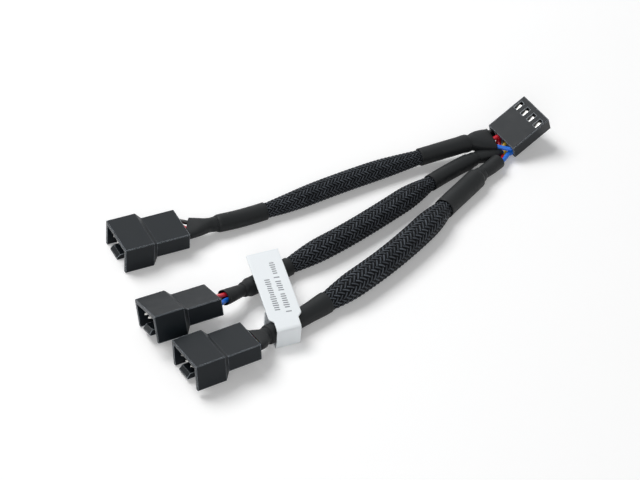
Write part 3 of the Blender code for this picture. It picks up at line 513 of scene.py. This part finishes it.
def node(tree, kind, values=None, **settings):
    made = tree.nodes.new(kind)
    for name, value in settings.items():
        setattr(made, name, value)
    for name, value in (values or {}).items():
        made.inputs[name].default_value = value
    return made


def grain_group():
    """Fine moulded or drawn grain: a mask of patches, and a bumped normal.

    Noise at the grain's scale drives the bump; a noise eight times coarser is the patch mask.
    """
    group = bpy.data.node_groups.new("surface_grain", "ShaderNodeTree")
    for name, kind in (("Scale", "NodeSocketFloat"), ("Depth", "NodeSocketFloat")):
        group.interface.new_socket(name, in_out="INPUT", socket_type=kind)
    group.interface.new_socket("Patches", in_out="OUTPUT", socket_type="NodeSocketFloat")
    group.interface.new_socket("Normal", in_out="OUTPUT", socket_type="NodeSocketVector")
    given = group.nodes.new("NodeGroupInput")
    result = group.nodes.new("NodeGroupOutput")
    coordinates = group.nodes.new("ShaderNodeTexCoord")
    fine = node(group, "ShaderNodeTexNoise", {"Detail": 3.0, "Roughness": 0.6})
    coarse = node(group, "ShaderNodeTexNoise", {"Detail": 2.0})
    slower = node(group, "ShaderNodeMath", {1: 8.0}, operation="DIVIDE")
    bump = node(group, "ShaderNodeBump", {"Strength": 1.0})
    link = group.links.new
    link(coordinates.outputs["Object"], fine.inputs["Vector"])
    link(coordinates.outputs["Object"], coarse.inputs["Vector"])
    link(given.outputs["Scale"], fine.inputs["Scale"])
    link(given.outputs["Scale"], slower.inputs[0])
    link(slower.outputs[0], coarse.inputs["Scale"])
    link(given.outputs["Depth"], bump.inputs["Distance"])
    link(fine.outputs["Fac"], bump.inputs["Height"])
    link(coarse.outputs["Fac"], result.inputs["Patches"])
    link(bump.outputs["Normal"], result.inputs["Normal"])
    return group


def add_grain(tree, shader, grain, scale, depth, rough_low, rough_high):
    """Places the grain group and lets its patches vary the roughness."""
    group = node(tree, "ShaderNodeGroup", node_tree=grain)
    group.inputs["Scale"].default_value = scale
    group.inputs["Depth"].default_value = depth
    spread = node(tree, "ShaderNodeMapRange", {
        "From Min": 0.3, "From Max": 0.7, "To Min": rough_low, "To Max": rough_high})
    tree.links.new(group.outputs["Patches"], spread.inputs["Value"])
    tree.links.new(spread.outputs["Result"], shader.inputs["Roughness"])
    tree.links.new(group.outputs["Normal"], shader.inputs["Normal"])


def blend_color(tree, shader, share, base, other):
    """Links a Base Color that goes from base, where the share is 0, to the other colour at 1."""
    color = node(tree, "ShaderNodeMix", data_type="RGBA")
    color.inputs["A"].default_value = (*base, 1.0)
    color.inputs["B"].default_value = (*other, 1.0)
    tree.links.new(share, color.inputs["Factor"])
    tree.links.new(color.outputs["Result"], shader.inputs["Base Color"])


def painted_edge_highlights(tree, shader, radius, base, highlight_color):
    """Paints a highlight on the edges as a lighter colour, where a normal rounded over the radius differs
    from the flat one.
    """
    rounded = node(tree, "ShaderNodeBevel", {"Radius": radius}, samples=6)
    flat = tree.nodes.new("ShaderNodeNewGeometry")
    match = node(tree, "ShaderNodeVectorMath", operation="DOT_PRODUCT")
    tree.links.new(rounded.outputs["Normal"], match.inputs[0])
    tree.links.new(flat.outputs["True Normal"], match.inputs[1])
    # Mask of the painted edge highlight: 0 on flat faces, 1 on sharp convex and concave edges
    edge_highlight = node(tree, "ShaderNodeMapRange", {"From Min": 0.98, "From Max": 0.84})
    tree.links.new(match.outputs["Value"], edge_highlight.inputs["Value"])
    blend_color(tree, shader, edge_highlight.outputs["Result"], base, highlight_color)


def moulded_plastic(grain):
    base = (0.009, 0.012, 0.015)
    material, tree, shader = new_material("moulded_black", base, 0.34, Specular_IOR_Level=0.17)
    add_grain(tree, shader, grain, 2600.0, 0.000012, 0.29, 0.39)
    # Painted highlight: the edges get a pale bluish colour that stands in for light caught on them
    painted_edge_highlights(tree, shader, 0.00026, base, (0.5, 0.55, 0.6))
    return material


def shrink_rubber(grain):
    material, tree, shader = new_material(
        "shrink_tube", (0.012, 0.0135, 0.0145), 0.5, Specular_IOR_Level=0.18)
    add_grain(tree, shader, grain, 1800.0, 0.00003, 0.44, 0.58)
    return material


def wire_insulation(grain, name, color):
    material, tree, shader = new_material(name, color, 0.35)
    add_grain(tree, shader, grain, 1500.0, 0.00001, 0.3, 0.42)
    return material


def tinned_metal(grain):
    material, tree, shader = new_material("tinned_brass", (0.86, 0.85, 0.82), 0.25, Metallic=1.0)
    add_grain(tree, shader, grain, 2200.0, 0.00001, 0.18, 0.34)
    return material


def braid_yarn():
    """Plaited monofilament on the braid's UV: u in turns round, v in lays along.

    The floors of the two families' strand numbers say which one is on top. Its strands carry a painted
    highlight along the middle and painted shade in the gaps, each a little unlike the next, with five
    threads in each.
    """
    material, tree, shader = new_material(
        "braid_yarn", (0.01, 0.011, 0.013), 0.4, Specular_IOR_Level=0.05)
    uv = node(tree, "ShaderNodeUVMap", uv_map="UVMap")
    parts = tree.nodes.new("ShaderNodeSeparateXYZ")
    tree.links.new(uv.outputs["UV"], parts.inputs[0])
    turned = maths(tree, "MULTIPLY", parts.outputs["X"], BRAID_STRANDS)
    wound = maths(tree, "MULTIPLY", parts.outputs["Y"], BRAID_STRANDS)
    left = maths(tree, "ADD", turned, wound)
    right = maths(tree, "SUBTRACT", turned, wound)
    left_number = maths(tree, "FLOOR", left)
    right_number = maths(tree, "FLOOR", right)
    both = maths(tree, "ADD", left_number, right_number)
    crossing = maths(tree, "FLOORED_MODULO", both, 2 * BRAID_FLOAT)
    left_on_top = maths(tree, "LESS_THAN", crossing, BRAID_FLOAT)

    def choose(if_left, if_right):
        made = tree.nodes.new("ShaderNodeMix")
        tree.links.new(left_on_top, made.inputs["Factor"])
        tree.links.new(if_right, made.inputs["A"])
        tree.links.new(if_left, made.inputs["B"])
        return made.outputs["Result"]

    across = choose(maths(tree, "FRACT", left), maths(tree, "FRACT", right))
    strand = choose(left_number, maths(tree, "SUBTRACT", -7.0, right_number))
    offset = maths(tree, "ABSOLUTE", maths(tree, "SUBTRACT", across, 0.5))
    crown_highlight = maths(tree, "SUBTRACT", 1.0, maths(tree, "POWER", maths(tree, "MULTIPLY", offset, 2.0), 2.0))
    tone = node(tree, "ShaderNodeTexWhiteNoise", noise_dimensions="1D")
    tree.links.new(strand, tone.inputs["W"])
    patchy = node(tree, "ShaderNodeTexNoise", {"Scale": 900.0, "Detail": 2.0})
    place = tree.nodes.new("ShaderNodeTexCoord")
    tree.links.new(place.outputs["Object"], patchy.inputs["Vector"])
    uneven = maths(tree, "ADD", maths(tree, "MULTIPLY", tone.outputs["Value"], 0.5), patchy.outputs["Fac"])
    # Painted highlight along each strand's crown and painted shade in the gaps: the crown's profile,
    # sharpened and varied in tone from strand to strand, blends near black to pale blue-grey
    share = maths(tree, "MULTIPLY", maths(tree, "POWER", crown_highlight, 6.0), uneven)
    blend_color(tree, shader, share, (0.0012, 0.0014, 0.002), (0.115, 0.13, 0.15))
    threads = maths(tree, "SINE", maths(tree, "MULTIPLY", across, 2 * BRAID_THREADS * math.pi))
    bump = node(tree, "ShaderNodeBump", {"Strength": 0.6, "Distance": 0.00002})
    tree.links.new(threads, bump.inputs["Height"])
    tree.links.new(bump.outputs["Normal"], shader.inputs["Normal"])
    return material


def printed_strokes(tree, along, across, row, seed):
    """Mask of one row of short upright strokes of uneven height, with gaps here and there."""
    middle, start, end = row
    steps = maths(tree, "DIVIDE", maths(tree, "SUBTRACT", along, start), PRINT_PITCH)
    chance = node(tree, "ShaderNodeTexWhiteNoise", noise_dimensions="1D")
    tree.links.new(maths(tree, "ADD", maths(tree, "FLOOR", steps), seed), chance.inputs["W"])
    shortest = 0.6 * PRINT_HALF_HEIGHT
    height = maths(
        tree, "MULTIPLY_ADD", chance.outputs["Value"], PRINT_HALF_HEIGHT - shortest, shortest)
    masks = (
        maths(tree, "LESS_THAN", maths(tree, "FRACT", steps), 0.5),
        maths(tree, "LESS_THAN", maths(tree, "ABSOLUTE", maths(tree, "SUBTRACT", across, middle)), height),
        maths(tree, "GREATER_THAN", along, start),
        maths(tree, "LESS_THAN", along, end),
        maths(tree, "GREATER_THAN", chance.outputs["Value"], 0.14),
    )
    mask = masks[0]
    for other in masks[1:]:
        mask = maths(tree, "MULTIPLY", mask, other)
    return mask


def label_paper(grain):
    """White paper with two rows of faint grey strokes on top, laid out from the label's corner."""
    white = (0.86, 0.90, 0.925)
    material, tree, shader = new_material("label_paper", white, 0.5)
    add_grain(tree, shader, grain, 900.0, 0.00001, 0.45, 0.6)
    place = tree.nodes.new("ShaderNodeTexCoord")
    laid = node(tree, "ShaderNodeMapping", vector_type="TEXTURE")
    laid.inputs["Location"].default_value = LABEL_CORNER
    laid.inputs["Rotation"].default_value = (0.0, 0.0, FLAG_YAW)
    parts = tree.nodes.new("ShaderNodeSeparateXYZ")
    tree.links.new(place.outputs["Object"], laid.inputs["Vector"])
    tree.links.new(laid.outputs["Vector"], parts.inputs[0])
    rows = [printed_strokes(tree, parts.outputs["X"], parts.outputs["Y"], row, seed)
            for row, seed in zip(PRINT_ROWS, (3.0, 71.0))]
    facing = tree.nodes.new("ShaderNodeNewGeometry")
    sides = tree.nodes.new("ShaderNodeSeparateXYZ")
    tree.links.new(facing.outputs["True Normal"], sides.inputs[0])
    upward = maths(tree, "GREATER_THAN", sides.outputs["Z"], 0.7)
    ink = maths(tree, "MULTIPLY", maths(tree, "ADD", *rows), upward)
    blend_color(tree, shader, maths(tree, "MULTIPLY", ink, 0.85), white, (0.10, 0.11, 0.13))
    return material


# Pieces of each branch

def make_wire(branch, color, line, material):
    rings = carried_rings(line, WIRE_DIAMETER / 2, WIRE_SIDES)
    item = grid_mesh(f"{color}_wire_look_{branch + 1}", rings, material)
    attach(item, "root")
    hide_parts(f"{color}_wire_{branch + 1}")


def sleeve_radius(branch, distances):
    """Outer radius of a branch's two thick tubes where they cover the braid."""
    stations = STATIONS[branch]
    growth = eased((distances - stations["braid"] + GROWTH_LENGTH) / GROWTH_LENGTH)
    plug_side = PLUG_SLEEVE_RADIUS[branch] + PLUG_SLEEVE_GROWTH[branch] * growth
    middle = (stations["braid"] + stations["socket_tube"]) / 2
    return np.where(distances < middle, plug_side, SOCKET_SLEEVE_RADIUS[branch])


def braid_radius(branch, distances):
    """Outer radius of a braid: its necks under the thick tubes, and a quarter sine's swell from each."""
    stations = STATIONS[branch]
    neck = sleeve_radius(branch, distances) - SLEEVE_TUBE_WALL - NEST_GAP
    reach = np.minimum(distances - stations["braid"], stations["socket_tube"] - distances)
    share = np.clip(reach / BRAID_SWELL_LENGTH[branch], 0.0, 1.0)
    return neck + (BRAID_RADIUS[branch] - neck) * np.sin(math.pi / 2 * share)


def woven_relief(around, lays):
    """Height of a two-over, two-under plait on (turns round, lays along), from 0 to 1.

    Two families of strands wind opposite ways. A strand's section is an arch. Along the strand a
    cosine lifts it where it floats over two of the others and sinks it where it runs under two.
    """
    left = (around + lays) * BRAID_STRANDS
    right = (around - lays) * BRAID_STRANDS
    left_arch = 1 - (2 * (left % 1) - 1) ** 2
    right_arch = 1 - (2 * (right % 1) - 1) ** 2
    wave = math.pi / BRAID_FLOAT
    left_lift = np.cos(wave * (np.floor(left) + right - BRAID_FLOAT / 2))
    right_lift = -np.cos(wave * (left + np.floor(right) - BRAID_FLOAT / 2))
    return np.clip(0.5 * np.maximum(left_arch + left_lift, right_arch + right_lift), 0, 1)


def make_braid(branch, route, material):
    stations = STATIONS[branch]
    start = stations["sleeve_tube"] + BRAID_TUCK
    end = stations["socket_wire_tube"] - BRAID_TUCK
    distances = np.arange(start, end, BRAID_STEP)
    radius = braid_radius(branch, distances)
    around = np.linspace(0.0, 1.0, BRAID_SIDES, endpoint=False)
    lays = distances / (2 * math.pi * BRAID_RADIUS[branch])
    relief = woven_relief(around[None, :], lays[:, None])
    outer = radius[:, None] - BRAID_RELIEF * (1 - relief)
    here, _, across, up = route.frames(distances)
    direction = (across[:, None] * np.cos(2 * math.pi * around)[:, None]
                 + up[:, None] * np.sin(2 * math.pi * around)[:, None])
    grid = here[:, None] + direction * outer[..., None]
    item = grid_mesh(f"braid_look_{branch + 1}", grid, material, heights=lays)
    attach(item, "root")
    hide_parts(f"braided_sleeve_{branch + 1}")
    return item, here, radius.max() * 2


def make_tube(name, node_name, route, distances, half_width, half_height, wall, material,
              lean=0.0, lift=0.0):
    """A walled tube along a route, with the section, lean and lift given at each distance."""
    outer = oval_rings(route, distances, half_width, half_height, lean, lift, TUBE_SIDES)
    inner = oval_rings(route, distances, half_width - wall, half_height - wall, lean, lift, TUBE_SIDES)
    item = grid_mesh(name, walled(outer, inner), material, wrap_rows=True,
                     heights=np.r_[distances, distances[::-1]])
    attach(item, "root")
    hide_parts(node_name)
    return item


def thinned_lip(radius, reach):
    """A thick tube's radius and wall, drawn thin and close over the last stretch up to its lip."""
    share = 1 - eased(reach / LIP_LENGTH)
    thinning = (SLEEVE_TUBE_WALL - LIP_WALL) * share
    return radius - thinning - LIP_CLOSENESS * NEST_GAP * share, SLEEVE_TUBE_WALL - thinning


def wire_tube_shape(branch, distances, wide_end, round_end, wide, slack, stays_full):
    """Half sizes of a thin tube, round over the bundle and opening to a flat oval at its wide end.

    It changes in a soft S. Where it stays full, its height falls off by a cube law close to the
    wide end, and its width grows by another close to the round end.
    """
    inner = bundle_core(len(BRANCH_WIRES[branch])) + NEST_GAP + slack
    places = wire_places(branch, distances)
    share = np.clip(np.abs(distances - wide_end) / abs(round_end - wide_end), 0.0, 1.0)
    roundness = 1 - (1 - share) ** 3 if stays_full else eased(share)
    reach = WIRE_DIAMETER / 2 + NEST_GAP + MOUTH_SLACK * (1 - roundness)
    spread = np.max([np.abs(side) for side, _ in places.values()], axis=0) + reach
    height = np.max([np.abs(rise) for _, rise in places.values()], axis=0) + reach
    least = wide / 2 - WIRE_TUBE_WALL
    height = np.maximum(height, least + (inner - least) * roundness)
    spread = np.maximum(spread, inner * roundness)
    if stays_full:
        spread = np.maximum(spread, inner + (spread.max() - inner) * (1 - share**3))
    half_width, half_height = oval_around(places, spread, height, reach)
    return half_width + WIRE_TUBE_WALL, half_height + WIRE_TUBE_WALL


def make_branch(branch, socket, materials):
    """A branch's wires, its four tubes and its braid."""
    plug = pose_matrix(PLUG_PLACES[branch], PLUG_TURNS[branch])
    route = Route(branch, plug, socket)
    stations = STATIONS[branch]
    number = branch + 1
    for contact, color in BRANCH_WIRES[branch].items():
        line = wire_line(branch, contact, route, plug, socket)
        make_wire(branch, color, line, materials[color])
    snug = bundle_core(len(BRANCH_WIRES[branch])) + NEST_GAP + WIRE_TUBE_WALL
    plug_slim = snug + PLUG_TUBE_SLACK[branch] + NEST_GAP + SLEEVE_TUBE_WALL
    socket_slim = snug + SOCKET_TUBE_SLACK[branch] + NEST_GAP + SLEEVE_TUBE_WALL
    plug_mouth, plug_lip = stations["wire_tube"], stations["sleeve_tube"]
    socket_lip, socket_mouth = stations["socket_wire_tube"], stations["fan_out"]
    plug_step = plug_lip + BRAID_TUCK - NEST_GAP
    socket_step = socket_lip - BRAID_TUCK + NEST_GAP
    along = np.arange(plug_mouth, plug_step, TUBE_STEP)
    half_width, half_height = wire_tube_shape(
        branch, along, plug_mouth, plug_lip, PLUG_MOUTH_HEIGHT, PLUG_TUBE_SLACK[branch], False)
    make_tube(f"plug_wire_tube_look_{number}", f"plug_wire_tube_{number}", route, along,
                           half_width, half_height, WIRE_TUBE_WALL, materials["tube"],
                           lean=mouth_lean(branch, along))
    along = np.append(np.arange(plug_lip, stations["braid"], TUBE_STEP), stations["braid"])
    covered = eased((along - plug_step + SLEEVE_STEP) / SLEEVE_STEP)
    radius, wall = thinned_lip(
        plug_slim + (sleeve_radius(branch, along) - plug_slim) * covered, along - plug_lip)
    make_tube(f"plug_sleeve_tube_look_{number}", f"plug_sleeve_tube_{number}", route, along,
                           radius, radius, wall, materials["tube"])
    along = np.append(np.arange(stations["socket_tube"], socket_lip, TUBE_STEP), socket_lip)
    covered = eased((socket_step + SLEEVE_STEP - along) / SLEEVE_STEP)
    radius, wall = thinned_lip(
        socket_slim + (sleeve_radius(branch, along) - socket_slim) * covered, socket_lip - along)
    make_tube(f"socket_sleeve_tube_look_{number}", f"socket_sleeve_tube_{number}", route, along,
                           radius, radius, wall, materials["tube"], lift=mouth_rise(branch, along))
    along = np.append(np.arange(socket_step, socket_mouth, TUBE_STEP), socket_mouth)
    half_width, half_height = wire_tube_shape(
        branch, along, socket_mouth, socket_lip, SOCKET_MOUTH_HEIGHT, SOCKET_TUBE_SLACK[branch], True)
    make_tube(f"socket_wire_tube_look_{number}", f"socket_wire_tube_{number}", route, along,
                           half_width, half_height, WIRE_TUBE_WALL, materials["tube"],
                           lift=mouth_rise(branch, along))
    braid, line, diameter = make_braid(branch, route, materials["braid"])


def label_path():
    """The strip's middle line and outward side in the label's frame, as (along the flag, down) arrays.

    From the flag's far end it runs in to the fold, down the near face, under the branch, up the far
    face and in under the flag: straight runs joined by quarter circles.
    """
    radius = FOLD_RADIUS - PAPER / 2
    top = -PAPER + FLAG_THICKNESS / 2
    low, near, far = -WRAP_HEIGHT + PAPER / 2, PAPER / 2, WRAP_DEPTH - PAPER / 2
    corners = (
        (near + radius, top - radius, 90),
        (near + radius, low + radius, 180),
        (far - radius, low + radius, 270),
    )
    points = [(FLAG_END, top)]
    sides = [(0.0, 1.0)]
    for x, z, start in corners:
        for angle in np.radians(np.linspace(start, start + 90, FOLD_ANGLES)):
            points.append((x + radius * math.cos(angle), z + radius * math.sin(angle)))
            sides.append((math.cos(angle), math.sin(angle)))
    points.append((far, top - FLAG_THICKNESS))
    sides.append((1.0, 0.0))
    points, sides = np.array(points), np.array(sides)
    lengths = lengths_along(points)
    at = np.linspace(0.0, lengths[-1], round(lengths[-1] / LABEL_STEP) + 1)
    at = np.unique(np.r_[at, lengths])
    line = np.column_stack([np.interp(at, lengths, points[:, axis]) for axis in (0, 1)])
    side = unit(np.column_stack([np.interp(at, lengths, sides[:, axis]) for axis in (0, 1)]))
    return at, line, side


def make_label(material):
    """A strip of paper carried along the label's path: its section is a flat superellipse.

    Its width grows over the shoulder from the neck's to the flag's, and the doubled flag is thicker
    than the wrap. The flag leans along the branch and bows by half a sine.
    """
    at, line, side = label_path()
    flag = at < FLAG_END - FOLD_RADIUS
    run = np.where(flag, line[:, 0], 0.0)
    shoulder = np.clip((run - LABEL_SHOULDER_START) / (LABEL_SHOULDER_END - LABEL_SHOULDER_START), 0, 1)
    half_width = (LABEL_NECK_WIDTH + (FLAG_WIDTH - LABEL_NECK_WIDTH) * shoulder) / 2
    doubled = eased(run / LABEL_SHOULDER_START)
    half_thick = (PAPER + (FLAG_THICKNESS - PAPER) * doubled) / 2
    lean = FLAG_YAW - LABEL_YAW
    bow = LABEL_BOW * np.sin(math.pi * run / FLAG_END)
    angle = 2 * math.pi * (np.arange(LABEL_SIDES) + 0.5) / LABEL_SIDES
    wide = np.sign(np.cos(angle)) * np.abs(np.cos(angle)) ** LABEL_EDGE_SOFTNESS
    thick = np.sign(np.sin(angle)) * np.abs(np.sin(angle)) ** LABEL_EDGE_SOFTNESS
    stretch = np.where(flag, line[:, 0] * math.sin(lean), line[:, 0])
    x = LABEL_NECK_WIDTH / 2 + (run * math.cos(lean))[:, None] + half_width[:, None] * wide
    y = stretch[:, None] + (half_thick * side[:, 0])[:, None] * thick
    z = (line[:, 1] + bow)[:, None] + (half_thick * side[:, 1])[:, None] * thick
    turn = Euler((LABEL_TILT, 0.0, LABEL_YAW), "XYZ").to_matrix().to_4x4()
    pose = np.array(Matrix.Translation(LABEL_CORNER) @ turn)
    grid = placed(pose, np.stack([x, y, z], axis=-1).reshape(-1, 3)).reshape(*x.shape, 3)
    item = grid_mesh("paper_label_look", grid, material)
    item.data.set_sharp_from_angle(angle=LABEL_SHARP_ANGLE)
    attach(item, "root")
    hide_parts("paper_label")
    return item


def finish_solids(plastic, metal):
    """Gives the housings and contacts their finishes."""
    for name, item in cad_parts.items():
        if "housing" in name or "pin" in name or "terminal" in name:
            finish = plastic if "housing" in name else metal
            for slot in item.material_slots:
                slot.material = finish


def background_seen(tree):
    """1 for rays that show the background: straight from the camera, mirrored, or through glass."""
    rays = tree.nodes.new("ShaderNodeLightPath").outputs
    mirrored = maths(tree, "MAXIMUM", rays["Is Glossy Ray"], rays["Is Transmission Ray"])
    return maths(tree, "MAXIMUM", rays["Is Camera Ray"], mirrored)


def make_stage():
    """A plain white floor that keeps the cable's shadow, and shows white to the camera."""
    half = FLOOR_HALF_WIDTH
    corners = [(-half, -half, 0), (half, -half, 0), (half, half, 0), (-half, half, 0)]
    mesh = bpy.data.meshes.new("floor")
    mesh.from_pydata(corners, [], [(0, 1, 2, 3)])
    material, tree, shader = new_material("floor_white", (0.90, 0.90, 0.90), 0.9, Specular_IOR_Level=0.0)
    shader.inputs["Emission Color"].default_value = (1.0, 1.0, 1.0, 1.0)
    glow = maths(tree, "MULTIPLY", background_seen(tree), FLOOR_GLOW)
    tree.links.new(glow, shader.inputs["Emission Strength"])
    mesh.materials.append(material)
    floor = bpy.data.objects.new("floor", mesh)
    floor.location.z = -FLOOR_DROP
    bpy.context.scene.collection.objects.link(floor)


def area_light(name, place, width, energy, color=(1.0, 1.0, 1.0)):
    """A square lamp that faces the origin."""
    data = bpy.data.lights.new(name, "AREA")
    data.size = width
    data.energy = energy
    data.color = color
    light = bpy.data.objects.new(name, data)
    light.location = place
    light.rotation_euler = (-Vector(place)).to_track_quat("-Z", "Y").to_euler()
    bpy.context.scene.collection.objects.link(light)


def make_camera():
    """Looks along the heading, tilted down by the elevation and rolled a little, at the target."""
    data = bpy.data.cameras.new("camera")
    data.lens = CAMERA_LENS
    data.sensor_width = CAMERA_SENSOR
    data.clip_start = 0.01
    camera = bpy.data.objects.new("camera", data)
    forward = Vector((
        math.cos(CAMERA_ELEVATION) * math.cos(CAMERA_HEADING),
        math.cos(CAMERA_ELEVATION) * math.sin(CAMERA_HEADING), -math.sin(CAMERA_ELEVATION)))
    camera.location = Vector(CAMERA_TARGET) - forward * CAMERA_DISTANCE
    level = forward.to_track_quat("-Z", "Y").to_matrix()
    camera.rotation_euler = (level @ Matrix.Rotation(CAMERA_ROLL, 3, "Z")).to_euler()
    bpy.context.scene.collection.objects.link(camera)
    bpy.context.scene.camera = camera


def make_world():
    world = bpy.data.worlds.new("studio")
    world.use_nodes = True
    background = world.node_tree.nodes["Background"]
    background.inputs["Color"].default_value = (1.0, 1.0, 1.0, 1.0)
    tree = world.node_tree
    extra = maths(tree, "MULTIPLY", background_seen(tree), 1.0 - WORLD_STRENGTH)
    tree.links.new(maths(tree, "ADD", extra, WORLD_STRENGTH), background.inputs["Strength"])
    bpy.context.scene.world = world


def build():
    bpy.context.scene.view_settings.view_transform = "Standard"
    make_camera()
    make_world()
    make_stage()
    area_light("key", (-0.10, 0.45, 0.75), 0.5, 6.1)
    area_light("sheen", (0.52, 0.52, 0.60), 0.6, 0.5, (0.88, 0.95, 1.0))
    area_light("front", (-0.50, -0.50, 0.35), 0.5, 1.8)
    grain = grain_group()
    materials = {
        "tube": shrink_rubber(grain),
        "braid": braid_yarn(),
        "black": wire_insulation(grain, "wire_black", (0.015, 0.015, 0.016)),
        "red": wire_insulation(grain, "wire_red", (0.62, 0.012, 0.03)),
        "yellow": wire_insulation(grain, "wire_yellow", (0.75, 0.5, 0.03)),
        "blue": wire_insulation(grain, "wire_blue", (0.01, 0.17, 0.75)),
    }
    finish_solids(moulded_plastic(grain), tinned_metal(grain))
    label = make_label(label_paper(grain))
    socket = pose_matrix(SOCKET_PLACE, SOCKET_TURN)
    for branch in range(len(ROUTES)):
        make_branch(branch, socket, materials)


build()
